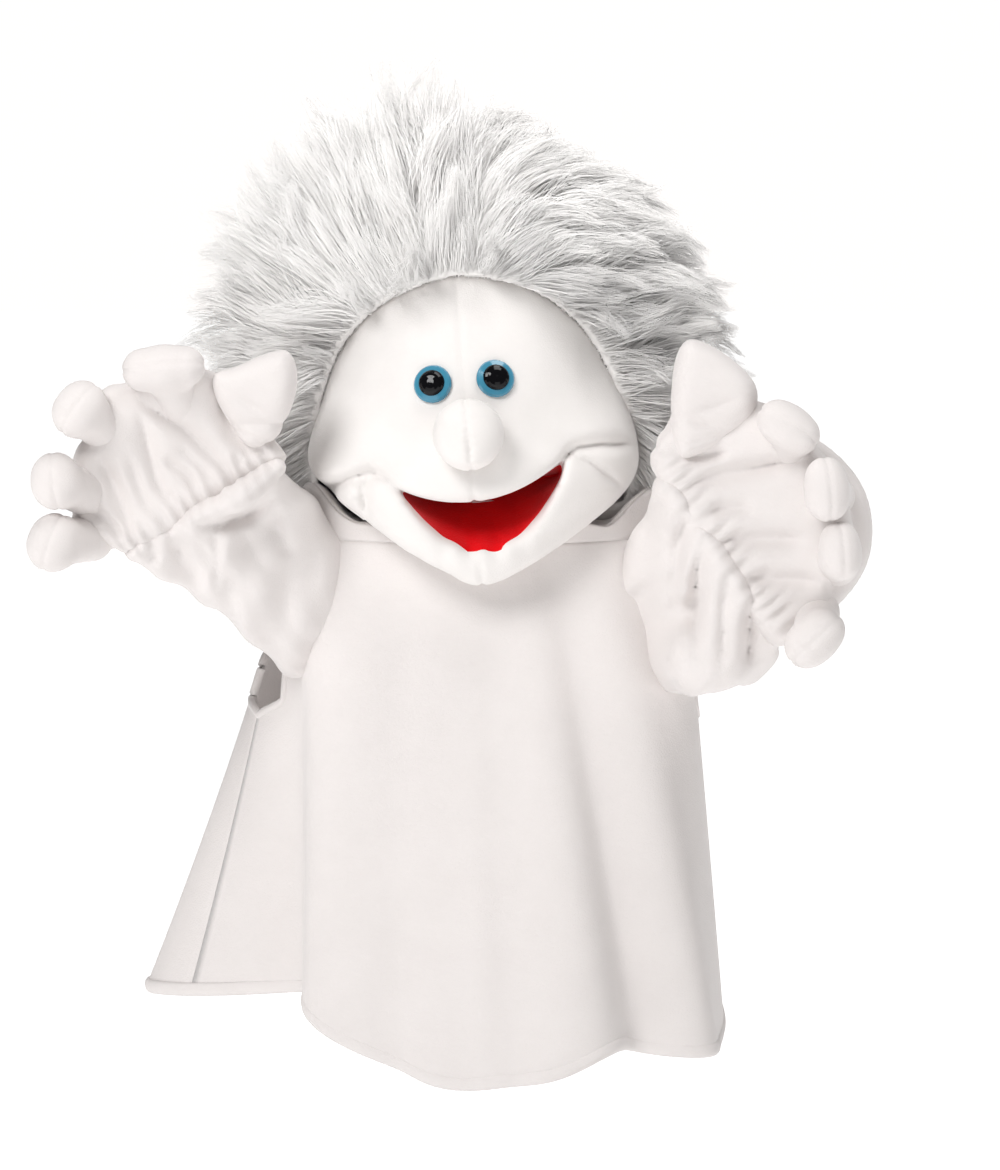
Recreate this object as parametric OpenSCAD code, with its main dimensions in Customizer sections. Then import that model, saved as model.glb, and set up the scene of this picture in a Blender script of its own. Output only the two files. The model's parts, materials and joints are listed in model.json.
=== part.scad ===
// Cloth ghost hand puppet: padded head with a moving mouth, fur wig, open robe and two glove hands.
// Origin on the axis of the neck sleeve, at the sleeve's middle. +Z is up and the face looks along -Y.
// "right" and "left" are the puppet's own, so right is at -X.

/* [Robe] */
// Half width of the robe at its upper edge
robe_top_w = 76; // [72:1:82]
// Half depth of the robe at its upper edge
robe_top_d = 46; // [44:1:52]
// Half width of the robe at the hem
robe_hem_w = 91; // [84:1:100]
// Half depth of the robe at the hem
robe_hem_d = 74; // [60:1:84]
// Height of the robe's upper edge
robe_top_z = 36; // [33:1:38]
// Depth of the hem below the origin, halfway between front and back
robe_hem_z = 165; // [150:1:185]
// How far the side of the robe flares out behind the right arm
flare = 78; // [0:1:84]
// Thickness of the robe's cloth
cloth_t = 2.4; // [1.6:0.2:3]

/* [Head] */
// Largest radius of the foam skull
skull_r = 65; // [60:1:68]
// Sideways lean of the head
head_roll = -5; // [-8:1:8]
// Angle from the mouth's roof down to the lower jaw as the mouth stands
mouth_gap = 20; // [14:1:24]
// Radius of the stuffed nose
nose_r = 14; // [12:0.5:16]
// Radius of an eye
eye_r = 8.0; // [7:0.2:10]

/* [Wig] */
// Largest radius of the fur
fur_r = 114; // [100:1:118]
// Height of the top of the fur
fur_top = 236; // [215:1:240]

/* [Hands] */
// Radius of a padded finger
finger_r = 9.6; // [8:0.2:10]
// Thickness of the glove's cloth
glove_t = 3; // [2:0.5:4]
// Half width of the elastic at the wrist
wrist_w = 38; // [34:1:42]
// Half thickness of the elastic at the wrist
wrist_d = 18; // [16:1:20]

/* [Neck] */
// Radius inside the neck sleeve, for the puppeteer's forearm
sleeve_r = 36; // [34:0.5:37]
// Length of the neck sleeve
sleeve_l = 50; // [40:1:56]

/* [Hidden] */

white = [0.95, 0.94, 0.92];
cream = [0.98, 0.97, 0.95];
foam = [0.9, 0.88, 0.8];
elastic = [0.85, 0.85, 0.85];

// ---- helpers -------------------------------------------------------------------------------

function unit(v) = v / norm(v);
function mix(a, b, t) = a + (b - a) * t;
function smooth(t) = let (c = min(1, max(0, t))) c * c * (3 - 2 * c);
function bell(x, width) = exp(-pow(x / width, 2));
function around(a, centre) = let (d = (a - centre) % 360) d > 180 ? d - 360 : d < -180 ? d + 360 : d;

// Faces between two rows of a grid of points that has row_n points in a row; flip turns them over.
function strip(row_n, i0, i1, closed, flip) = [
    for (k = [0 : row_n - (closed ? 1 : 2)])
        let (a = i0 + k, b = i0 + (k + 1) % row_n, c = i1 + (k + 1) % row_n, d = i1 + k)
        for (f = flip ? [[a, b, c], [a, c, d]] : [[a, c, b], [a, d, c]]) f
];

// A ring-shaped wall between an outer and an inner stack of rings, open at both ends.
module wall(outer, inner) {
    rows = len(outer);
    n = len(outer[0]);
    base = rows * n;
    points = [for (r = concat(outer, inner)) for (p = r) p];
    faces = concat(
        [for (j = [0 : rows - 2]) for (f = strip(n, j * n, (j + 1) * n, true, false)) f],
        [for (j = [0 : rows - 2]) for (f = strip(n, base + j * n, base + (j + 1) * n, true, true)) f],
        strip(n, 0, base, true, true),
        strip(n, (rows - 1) * n, base + (rows - 1) * n, true, false)
    );
    polyhedron(points, faces, convexity = 10);
}

// A curved panel of cloth between an outer and an inner grid of points.
module panel(outer, inner) {
    rows = len(outer);
    n = len(outer[0]);
    base = rows * n;
    points = [for (r = concat(outer, inner)) for (p = r) p];
    first = [for (j = [0 : rows - 1]) j * n];
    last = [for (j = [0 : rows - 1]) j * n + n - 1];
    edge = function (col, flip) [
        for (j = [0 : rows - 2])
            let (a = col[j], b = col[j + 1], c = base + col[j + 1], d = base + col[j])
            for (f = flip ? [[a, b, c], [a, c, d]] : [[a, c, b], [a, d, c]]) f
    ];
    faces = concat(
        [for (j = [0 : rows - 2]) for (f = strip(n, j * n, (j + 1) * n, false, false)) f],
        [for (j = [0 : rows - 2]) for (f = strip(n, base + j * n, base + (j + 1) * n, false, true)) f],
        strip(n, 0, base, false, true),
        strip(n, (rows - 1) * n, base + (rows - 1) * n, false, false),
        edge(first, false),
        edge(last, true)
    );
    polyhedron(points, faces, convexity = 10);
}

// Places a piece drawn along +Z so that it starts at a and points along d.
module along(a, d) {
    u = unit(d);
    translate(a) rotate([0, acos(u.z), atan2(u.y, u.x)]) children();
}

// ---- robe ----------------------------------------------------------------------------------
// An angle of 0 is the puppet's left side, 90 its back, 180 its right side and 270 its front.

slot_depth = 72;        // from the robe's upper edge to the bottom of the slot under the arm
slot_angle = 17;        // half of the slot's opening
slot_round = 10;        // height over which the slot's lower end closes
hem_h = 8;              // height of the hem's band
hem_t = 4;              // thickness of the hem's band
front_drop = 14;        // how much lower the hem hangs at the front than at the side
robe_shift = 13;        // how far the hem's middle lies towards the left hand
robe_n = 36;            // steps along a panel

collar_dip = 12;        // how much lower the robe's upper edge is under the chin
function hem_z(a) =
    -robe_hem_z + front_drop * sin(a) + 10 * bell(around(a, 195), 26)
    - 4 * bell(around(a, 248), 18) + 10 * bell(around(a, 303), 16) - 4 * bell(around(a, 345), 15);
function top_z(a) = robe_top_z - collar_dip * bell(around(a, 270), 35);
function robe_z(a, s) = mix(top_z(a), hem_z(a), s);
function robe_point(a, s, inward) =
    let (
        hw = mix(robe_top_w, robe_hem_w, pow(s, 0.7)),
        hd = mix(robe_top_d, robe_hem_d, pow(s, 0.8)),
        out = flare * pow(s, 1.2) * bell(around(a, 170), 17)
            + 4 * s * cos(5 * a + 40)
            + 7 * s * bell(around(a, 214), 12),
        base = 1 / sqrt(pow(cos(a) / hw, 2) + pow(sin(a) / hd, 2)),
        r = base + out - inward
    )
    [mix(4, robe_shift, s) + r * cos(a), r * sin(a), robe_z(a, s)];

function slot_gap(s, a_mid) =
    let (z = robe_z(a_mid, s), low = top_z(a_mid) - slot_depth)
    slot_angle * smooth((z - low) / slot_round);
function panel_row(s, start, inward) = [
    for (i = [0 : robe_n])
        let (from = start + slot_gap(s, start), to = start + 180 - slot_gap(s, start + 180))
        robe_point(mix(from, to, i / robe_n), s, inward)
];
slot_s = slot_depth / (robe_top_z + robe_hem_z);
slot_step = slot_round / (robe_top_z + robe_hem_z) / 3;
panel_steps = concat(
    [for (j = [0 : 3]) (slot_s - 3 * slot_step) * j / 3],
    [for (j = [-2 : 1]) slot_s + j * slot_step],
    [for (j = [1 : 7]) mix(slot_s + slot_step, 1, j / 7)]
);

module robe_panel(start) {
    color(white)
    panel(
        [for (s = panel_steps) panel_row(s, start, 0)],
        [for (s = panel_steps) panel_row(s, start, cloth_t)]
    );
}

module hem_band() {
    outset = (hem_t - cloth_t) / 2;
    ring = function (inward, drop) [
        for (i = [0 : 2 * robe_n - 1])
            robe_point(i * 180 / robe_n, 1, inward) - [0, 0, drop]
    ];
    color(white)
    wall([ring(-outset, 0), ring(-outset, hem_h)], [ring(cloth_t + outset, 0), ring(cloth_t + outset, hem_h)]);
}

neck_cloth_t = 1.5;

module neck_sleeve() {
    color(white)
    translate([0, 0, -sleeve_l / 2])
    difference() {
        cylinder(h = sleeve_l, r = sleeve_r + neck_cloth_t, $fn = 96);
        translate([0, 0, -1]) cylinder(h = sleeve_l + 2, r = sleeve_r, $fn = 96);
    }
}

binding_r = 2;          // radius of the roll along a slot's lower edge
binding_out = 2.6;      // its middle's distance outside the wall
binding_drop = 3;       // its middle's distance below the slot
binding_half = 12.75;   // half of the angle it covers
binding_n = 8;
binding_steps = 5;

// Bound edge along the bottom of the slot under an arm: a short roll outside the wall.
module slot_binding(a_mid) {
    n = binding_n;
    z = robe_top_z - slot_depth - binding_drop;
    s = (robe_top_z - z) / (robe_top_z - hem_z(a_mid));
    ring = function (a) let (p = robe_point(a, s, -binding_out), q = unit([cos(a), sin(a), 0])) [
        for (k = [0 : n - 1]) [p.x, p.y, z] + binding_r * (cos(360 * k / n) * q + sin(360 * k / n) * [0, 0, 1])
    ];
    rows = [for (i = [0 : binding_steps]) ring(a_mid + binding_half * (2 * i / binding_steps - 1))];
    color(white)
    polyhedron(
        [for (r = rows) for (p = r) p],
        concat(
            [for (j = [0 : binding_steps - 1]) for (f = strip(n, j * n, (j + 1) * n, true, false)) f],
            [[for (k = [0 : n - 1]) k]],
            [[for (k = [n - 1 : -1 : 0]) binding_steps * n + k]]
        )
    );
}

// ---- neck ----------------------------------------------------------------------------------

ring_z = 40;            // height of the neck ring
ring_h = 3;
ring_t = 4;             // from its inner edge to its outer edge
ring_gap = 1;           // how much wider than the neck sleeve its hole is

module neck_ring() {
    inside = sleeve_r + ring_gap;
    color(white)
    translate([0, 0, ring_z])
    difference() {
        cylinder(h = ring_h, r = inside + ring_t, $fn = 96);
        translate([0, 0, -1]) cylinder(h = ring_h + 2, r = inside, $fn = 96);
    }
}

// ---- head ----------------------------------------------------------------------------------
// The head is drawn upright about its own vertical axis, which stands at head_y, then leaned by head_roll.

head_y = -12;
lean_z = 30;            // height about which the head leans
skull_t = 9;
skin_t = 2.2;
skin_gap = 0.4;         // between the foam and the cloth
hinge = [0, -26, 71];   // the back of the mouth, on the jaw's axis
roof_slope = 7;         // how far the mouth's roof falls to the front, in degrees
mouth_w = 50;           // half width of the mouth's boards
mouth_d = 54;           // depth of the mouth's boards
roof_gap = 3.6;         // from the mouth's roof up to the foam, over the felt and the board
foam_half = 179.8;      // angle that each half of the foam covers
panel_sweep = 74.8;     // angle that each half of the face's cloth covers

// Heights above the origin, and the skull's radius there as shares of skull_r.
skull_profile = [
    [60, 0.72], [68, 0.9], [80, 1], [94, 0.99], [110, 0.94], [128, 0.85], [145, 0.71], [160, 0.51], [170, 0.28],
    [174, 0.05]
];
function skull_curve(grow) = [
    for (p = skull_profile)
        [max(0.5, p[1] * skull_r + grow * min(1, p[1] + 0.4)), p[0] + grow * max(0, (p[0] - 120) / 54)]
];
function face_r(z) = lookup(z, skull_profile) * skull_r + skin_gap + skin_t;
function face_slope(z) = atan((face_r(z - 8) - face_r(z + 8)) / 16);
function reversed(v) = [for (i = [len(v) - 1 : -1 : 0]) v[i]];

// A shell of the skull's shape between two growths outward, turned from angle start by sweep.
module skull_shell(inner, outer, start, sweep) {
    translate([0, head_y, 0])
    rotate([0, 0, start])
    rotate_extrude(angle = sweep, $fn = 96)
    polygon(concat(skull_curve(outer), reversed(skull_curve(inner))));
}

module lean() {
    translate([0, 0, lean_z]) rotate([0, head_roll, 0]) translate([0, 0, -lean_z]) children();
}

// Everything under the mouth's roof and in front of the hinge.
module mouth_room() {
    wide = 90;
    front = 114;
    behind = 6;
    deep = 80;
    translate(hinge)
    rotate([roof_slope, 0, 0])
    translate([-wide, -front, roof_gap - deep])
    cube([2 * wide, front + behind, deep]);
}

// Half of the foam skull: two halves glued along the middle.
module skull_foam(side) {
    color(foam)
    lean()
    difference() {
        skull_shell(-skull_t, 0, side < 0 ? 90.1 : -89.9, foam_half);
        mouth_room();
        eye_holes();
    }
}

module face_panel(start) {
    color(cream)
    lean()
    difference() {
        skull_shell(skin_gap, skin_gap + skin_t, start, panel_sweep);
        mouth_room();
        eye_holes();
    }
}

eye_z = 116;
eye_turn = 12;          // angle of an eye round the head's axis
nose_z = 94;

// Places a piece drawn along +Z on the face's surface, pointing out of it.
module on_face(turn, z) {
    translate([0, head_y, z])
    rotate([0, 0, turn])
    translate([0, -face_r(z), 0])
    rotate([90 - face_slope(z), 0, 0])
    children();
}

stem_r = 2;
stem_l = 17;            // reaches through the cloth and the foam to the washer
washer_z = -14.4;       // the washer's place along the stem
eye_gap = 0.6;          // between the cloth and the eye's rim
eye_hole_out = 7;       // reaches out past the cloth
stem_gap = 0.3;         // between the stem and its hole
iris_h = 2.6;
pupil_share = 0.69;     // the pupil's radius as a share of the eye's
pupil_h = 2.4;
washer_r = 7;
washer_h = 1.6;
nose_gap = 1.2;         // between the cloth and the nose's flat back
nose_base = 0.8;        // radius of that back as a share of nose_r
nose_out = 7;           // the ball's middle's distance from that back

module eye_holes() {
    for (side = [-1, 1])
        on_face(side * eye_turn, eye_z)
        translate([0, 0, -stem_l])
        cylinder(h = stem_l + eye_hole_out, r = stem_r + stem_gap, $fn = 32);
}

module eye_iris(side) {
    color([0.25, 0.55, 0.68])
    lean()
    on_face(side * eye_turn, eye_z) {
        translate([0, 0, eye_gap])
        rotate_extrude($fn = 64)
        polygon([[0, 0], [eye_r, 0], [eye_r, 1], [eye_r * 0.92, 2], [eye_r * 0.68, iris_h], [0, iris_h]]);
        translate([0, 0, -stem_l]) cylinder(h = stem_l + eye_gap + stem_gap, r = stem_r, $fn = 32);
    }
}

module eye_pupil(side) {
    color([0.03, 0.03, 0.03])
    lean()
    on_face(side * eye_turn, eye_z)
    translate([0, 0, eye_gap + iris_h])
    rotate_extrude($fn = 64)
    polygon(concat([[0, 0]], [for (t = [0 : 15 : 90]) [eye_r * pupil_share * cos(t), pupil_h * sin(t)]]));
}

module eye_washer(side) {
    color([0.9, 0.9, 0.9])
    lean()
    on_face(side * eye_turn, eye_z)
    translate([0, 0, washer_z])
    difference() {
        cylinder(h = washer_h, r = washer_r, $fn = 48);
        translate([0, 0, -1]) cylinder(h = washer_h + 2, r = stem_r, $fn = 32);
    }
}

module nose() {
    color(cream)
    lean()
    on_face(0, nose_z)
    translate([0, 0, nose_gap])
    rotate_extrude($fn = 64)
    polygon(concat(
        [[0, 0], [nose_r * nose_base, 0]],
        [for (t = [-20 : 10 : 90]) [nose_r * cos(t), nose_out + nose_r * sin(t)]]
    ));
}

wig_front = 15;         // angle by which the wig comes forward of the head's sides
wig_sweep = 209.8;
temple_z = 96;          // the wig comes forward only above this
fur_gap = 0.4;          // between the backing and the fur
fur_low = 84;           // height of the fur's lower edge

module wig_backing() {
    wide = 90;
    color(white)
    lean()
    difference() {
        skull_shell(skin_gap, skin_gap + skin_t, -wig_front, wig_sweep);
        translate([-wide, head_y - wide, 0]) cube([2 * wide, wide, temple_z]);
    }
}

// Radius of the fur at heights above the origin, as shares of fur_r and of fur_top.
fur_profile = [[0.84, fur_low], [0.95, 104], [1, 130], [0.97, 156], [0.84, 184], [0.62, 208], [0.34, 224], [0.04, fur_top]];

module wig_fur() {
    gap = skin_gap + skin_t + fur_gap;
    inner = [for (p = skull_curve(gap)) if (p[1] >= fur_low) p];
    color(white)
    lean()
    translate([0, head_y, 0])
    rotate_extrude(angle = 180, $fn = 96)
    polygon(concat(
        [for (p = fur_profile) [p[0] * fur_r, p[1]]],
        [[0.5, 174 + gap + 1]],
        reversed([for (p = inner) [max(p[0], 0.6), p[1]]]),
        [[skull_r + gap, fur_low]]
    ));
}

module mouth_outline(grow, half_w = mouth_w) {
    intersection() {
        scale([half_w + grow, mouth_d + grow]) circle(r = 1, $fn = 72);
        translate([-90, -90]) square([180, 88]);
    }
}

// Places a flat piece of the mouth: lift is its height above the roof (positive) or jaw plane (negative tilt).
module in_roof(lift) {
    translate(hinge) rotate([roof_slope, 0, 0]) translate([0, 0, lift]) children();
}
module in_jaw(lift) {
    translate(hinge) rotate([roof_slope + mouth_gap, 0, 0]) translate([0, 0, lift]) children();
}

red = [0.75, 0.02, 0.04];
grey = [0.3, 0.3, 0.3];
felt_t = 1.2;
board_t = 1.8;
felt_gap = 0.6;         // from the mouth's planes to the felt
board_inset = 1;        // how far the boards stop short of the felt's edge
fold_r = 1.5;
fold_share = 0.85;      // the fold's half length as a share of mouth_w

module mouth_lining_upper() {
    color(red) lean() in_roof(felt_gap) linear_extrude(felt_t) mouth_outline(0);
}
module mouth_board_upper() {
    color(grey) lean() in_roof(felt_gap + felt_t) linear_extrude(board_t) mouth_outline(-board_inset);
}
module mouth_lining_lower() {
    color(red) lean() in_jaw(-felt_gap - felt_t) linear_extrude(felt_t) mouth_outline(0);
}
module mouth_board_lower() {
    color(grey) lean() in_jaw(-felt_gap - felt_t - board_t) linear_extrude(board_t) mouth_outline(-board_inset);
}
module mouth_fold() {
    color(red)
    lean()
    translate(hinge)
    rotate([0, 90, 0])
    cylinder(h = 2 * fold_share * mouth_w, r = fold_r, center = true, $fn = 32);
}

jaw_back = 34;          // how far in front of the hinge the jaw's foam starts
jaw_t = 13;             // thickness of the jaw's foam
jaw_w = 50;             // half width of the jaw's foam
jaw_out = 2;            // how far the foam stands out past the board's edge
thumb_room = [11, 9];   // half width and depth of the groove for the thumb
thumb_front = 10;       // the groove's end, behind the board's front edge
under_board = felt_gap + felt_t + board_t;

module jaw_foam() {
    wide = 90;
    color(foam)
    lean()
    in_jaw(-under_board - jaw_t)
    difference() {
        linear_extrude(jaw_t) mouth_outline(jaw_out, jaw_w);
        translate([-wide, -jaw_back, -1]) cube([2 * wide, wide, jaw_t + 2]);
        translate([-thumb_room[0], thumb_front - mouth_d, jaw_t - thumb_room[1]])
        cube([2 * thumb_room[0], 40, 20]);
    }
}

module chin_panel(side) {
    wide = 90;
    seam = 0.1;
    color(cream)
    lean()
    in_jaw(-under_board - jaw_t - skin_t)
    intersection() {
        difference() {
            linear_extrude(jaw_t + skin_t + board_t + felt_t) mouth_outline(jaw_out + skin_t, jaw_w);
            translate([0, 0, skin_t]) linear_extrude(2 * jaw_t) mouth_outline(jaw_out, jaw_w);
        }
        translate([side > 0 ? seam : -wide, -wide, -1]) cube([wide - seam, wide - jaw_back, 60]);
    }
}

strap_w = 13;           // half width of the thumb's loop
strap_drop = 16.5;
strap_l = 10;
strap_t = 2;
strap_front = 5;        // the loop's back edge, in front of the hinge

// Elastic loop under the lower board that holds the puppeteer's thumb.
module thumb_strap() {
    color(elastic)
    lean()
    in_jaw(-under_board)
    translate([0, -strap_front, 0])
    rotate([90, 0, 0])
    linear_extrude(strap_l)
    intersection() {
        difference() {
            scale([strap_w, strap_drop]) circle(r = 1, $fn = 64);
            scale([strap_w - strap_t, strap_drop - strap_t]) circle(r = 1, $fn = 64);
        }
        translate([-20, -20]) square([40, 20]);
    }
}

// ---- arms and hands ------------------------------------------------------------------------
// Each hand has its own frame at the wrist: x to the thumb, y to the fingers, z out of the palm.

right_shoulder = [-74, -6, 8];
left_shoulder = [84, -6, 8];
right_wrist = [-120, -72, 60];
left_wrist = [97, -80, 47];
right_tilt = 30;        // how far a hand's fingers lean outward from straight up
left_tilt = 54.5;
function hand_frame(side) =
    let (a = side < 0 ? right_tilt : left_tilt)
    [[-side * cos(a), 0, sin(a)], [side * sin(a), 0, cos(a)], [0, -1, 0]];

// Each finger: its knuckle and its tip's centre, in the hand's frame.
right_fingers = [
    [[38, 15, 0], [54, 32, 12]],
    [[18, 38, -4], [12, 58, 18]],
    [[-12, 43, -4], [-20, 58, 18]],
    [[-33, 28, -4], [-43, 37, 19]],
    [[-43, 13, -4], [-57, 16, 17]]
];
left_fingers = [
    [[40, 22, 0], [61, 38, 10]],
    [[12, 50, -4], [29, 50, 18]],
    [[-11, 52, -4], [-4, 51, 22]],
    [[-35, 37, -4], [-30, 43, 21]],
    [[-47, 19, -4], [-53, 10, 19]]
];

// The line across the knuckles at each finger, in the palm's plane, and how far a finger bends.
right_knuckles = [[-0.34, 0.94], [0.95, 0.31], [1, 0], [0.6, 0.8], [0.35, 0.94]];
left_knuckles = [[-0.4, 0.92], [0.9, 0.43], [1, 0.1], [0.7, 0.71], [0.45, 0.89]];
finger_open = 15;
finger_curl = 20;
finger_gap = 0.6;

module in_hand(side) {
    if (side < 0)
        translate(right_wrist) rotate([90, -right_tilt, 0]) children();
    else
        translate(left_wrist) mirror([1, 0, 0]) rotate([90, -left_tilt, 0]) children();
}
function fingers(side) = side < 0 ? right_fingers : left_fingers;
function knuckles(side) = side < 0 ? right_knuckles : left_knuckles;
// A finger's hinge: square to the finger and as near the knuckle line as that allows.
function hinge_line(side, i) =
    let (k = knuckles(side)[i], u = unit(fingers(side)[i][1] - fingers(side)[i][0]), v = [k.x, k.y, 0])
    unit(v - (v * u) * u);

palm_start = 4;         // the glove's edge at the wrist
elastic_t = 2.4;        // thickness of the wrist's elastic
hand_inside = 15;       // depth of the glove's hollow
palm_z = 5;             // the palm's inner face
glove_out = 5;          // how far the glove stands out past the outline of the hand
wrist_room = 32;        // half width of the glove's opening at the wrist
elastic_h = 3;          // width of the wrist's elastic
elastic_z = -3;         // the elastic's middle, behind the palm
elastic_gap = 0.4;      // between the elastic and the glove
root_share = 0.92;      // a finger's radius at its knuckle as a share of finger_r

right_outline = [[-30, 0], [33, 0], [34, 14], [18, 32], [-12, 33], [-27, 20], [-30, 8]];
left_outline = [[-33, 0], [33, 0], [36, 20], [16, 38], [-10, 36], [-25, 27], [-33, 12]];

module hand_outline(side, grow) {
    offset(r = grow) polygon(side < 0 ? right_outline : left_outline);
}

// The space that the fingers need as they bend: for each a wedge about its hinge.
module finger_rooms(side) {
    r = finger_r + finger_gap;
    for (i = [0 : len(fingers(side)) - 1]) {
        f = fingers(side)[i];
        h = hinge_line(side, i);
        u = unit(f[1] - f[0]);
        w = cross(h, u);
        reach = norm(f[1] - f[0]) + r;
        open = [cos(finger_open), -sin(finger_open)];
        curl = [cos(finger_curl), sin(finger_curl)];
        translate(f[0])
        multmatrix([[u.x, w.x, h.x, 0], [u.y, w.y, h.y, 0], [u.z, w.z, h.z, 0]])
        translate([0, 0, -r])
        linear_extrude(2 * r)
        polygon([
            r * [open.y, -open.x] - r * open, r * [open.y, -open.x] + reach * open,
            r * [-curl.y, curl.x] + reach * curl, r * [-curl.y, curl.x] - r * curl
        ]);
    }
}

module palm(side) {
    color(white)
    in_hand(side)
    difference() {
        translate([0, 0, palm_z])
        linear_extrude(glove_t)
        intersection() {
            hand_outline(side, glove_out);
            translate([-60, palm_start]) square([120, 90]);
        }
        finger_rooms(side);
    }
}

module hand_back(side) {
    color(white)
    in_hand(side)
    difference() {
        translate([0, 0, palm_z - hand_inside - glove_t])
        linear_extrude(hand_inside + glove_t)
        intersection() {
            hand_outline(side, glove_out);
            translate([-60, palm_start]) square([120, 90]);
        }
        translate([0, 0, palm_z - hand_inside])
        linear_extrude(hand_inside + 1)
        union() {
            hand_outline(side, glove_out - glove_t);
            translate([-wrist_room, palm_start - 5]) square([2 * wrist_room, 20]);
        }
        finger_rooms(side);
    }
}

module wrist_elastic(side) {
    color(elastic)
    in_hand(side)
    rotate([90, 0, 0])
    translate([0, elastic_z, -palm_start + elastic_gap])
    linear_extrude(elastic_h)
    difference() {
        scale([wrist_w, wrist_d]) circle(r = 1, $fn = 64);
        scale([wrist_w - elastic_t, wrist_d - elastic_t]) circle(r = 1, $fn = 64);
    }
}

// A padded finger: a round-ended rod, a little fatter towards its tip.
module finger(side, i) {
    f = fingers(side)[i];
    length = norm(f[1] - f[0]);
    r0 = finger_r * root_share;
    color(white)
    in_hand(side)
    along(f[0], f[1] - f[0])
    rotate_extrude($fn = 48)
    polygon(concat(
        [for (t = [-90 : 15 : 0]) [r0 * cos(t), r0 * sin(t)]],
        [for (t = [0 : 15 : 90]) [finger_r * cos(t), length + finger_r * sin(t)]]
    ));
}

// A balloon sleeve from the shoulder to the wrist, open at both ends.
sleeve_start = 16;      // clear of the shoulder's pivot
sleeve_end = 27;        // clear of the wrist's elastic
sleeve_n = 28;
sleeve_rows = 8;
armhole_r = 24;         // radius of a sleeve at the shoulder
bulge_w = 5;            // how much a sleeve swells halfway, sideways
bulge_d = 8;            // and from front to back
sleeve_inset = 3;       // how much narrower than the elastic a sleeve ends
sleeve_pull = 13;       // how far each end of a sleeve runs straight
ring_x = 9;             // an armhole's ring, out from the shoulder's pivot
ring_r = 21;

function bezier(p, t) = let (q = 1 - t) q * q * q * p[0] + 3 * q * q * t * p[1] + 3 * q * t * t * p[2] + t * t * t * p[3];
function sleeve_ring(side, t, inward) =
    let (
        f = hand_frame(side),
        s = side < 0 ? right_shoulder : left_shoulder,
        w = side < 0 ? right_wrist : left_wrist,
        out = unit([side * 0.62, -0.78, 0.1]),
        into = unit(f[1] + unit(w - s)),
        a = s + sleeve_start * out,
        b = w - sleeve_end * into,
        c = bezier([a, a + sleeve_pull * out, b - sleeve_pull * into, b], t),
        d = unit(mix(out, into, t)),
        wide = unit(f[0] - (f[0] * d) * d),
        flat = cross(d, wide),
        bulge = sin(180 * t),
        rw = mix(armhole_r, wrist_w - sleeve_inset, t) + bulge_w * bulge - inward,
        rf = mix(armhole_r, wrist_d, t) + bulge_d * bulge - inward
    )
    [for (k = [0 : sleeve_n - 1]) c + rw * cos(360 * k / sleeve_n) * wide + rf * sin(360 * k / sleeve_n) * flat];

module sleeve(side) {
    color(white)
    wall(
        [for (j = [0 : sleeve_rows]) sleeve_ring(side, j / sleeve_rows, 0)],
        [for (j = [0 : sleeve_rows]) sleeve_ring(side, j / sleeve_rows, cloth_t)]
    );
}

module armhole_ring(side) {
    s = side < 0 ? right_shoulder : left_shoulder;
    color(elastic)
    translate(s + [side * ring_x, 0, 0])
    rotate([0, 90, 0])
    difference() {
        cylinder(h = elastic_h, r = ring_r, center = true, $fn = 64);
        cylinder(h = 2 * elastic_h, r = ring_r - elastic_t, center = true, $fn = 64);
    }
}

// ---- nodes ---------------------------------------------------------------------------------

robe_panel(180);  // robe_front
robe_panel(0);  // robe_back
hem_band();
neck_sleeve();
slot_binding(180);  // right_slot_binding
slot_binding(0);  // left_slot_binding
neck_ring();
skull_foam(-1);  // skull_foam_right
skull_foam(1);  // skull_foam_left
face_panel(195.1);  // face_right_panel
face_panel(270.1);  // face_left_panel
wig_backing();
wig_fur();
nose();
eye_iris(-1);  // right_eye_iris
eye_iris(1);  // left_eye_iris
eye_pupil(-1);  // right_eye_pupil
eye_pupil(1);  // left_eye_pupil
eye_washer(-1);  // right_eye_washer
eye_washer(1);  // left_eye_washer
mouth_board_upper();
mouth_lining_upper();
mouth_fold();
jaw_foam();
chin_panel(-1);  // chin_right_panel
chin_panel(1);  // chin_left_panel
mouth_board_lower();
mouth_lining_lower();
thumb_strap();
armhole_ring(-1);  // right_armhole_ring
armhole_ring(1);  // left_armhole_ring
sleeve(-1);  // right_sleeve
sleeve(1);  // left_sleeve
palm(-1);  // right_palm
palm(1);  // left_palm
hand_back(-1);  // right_hand_back
hand_back(1);  // left_hand_back
wrist_elastic(-1);  // right_wrist_elastic
wrist_elastic(1);  // left_wrist_elastic
finger(-1, 0);  // right_thumb
finger(-1, 1);  // right_index
finger(-1, 2);  // right_middle
finger(-1, 3);  // right_ring
finger(-1, 4);  // right_little
finger(1, 0);  // left_thumb
finger(1, 1);  // left_index
finger(1, 2);  // left_middle
finger(1, 3);  // left_ring
finger(1, 4);  // left_little
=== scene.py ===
"""Looks of a white ghost hand puppet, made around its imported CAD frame.

Soft pieces are worked out as distance fields in millimetres and turned into meshes in metres.
The head is drawn upright and then leaned sideways, as the CAD head is.
"""
import json
import math

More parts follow.
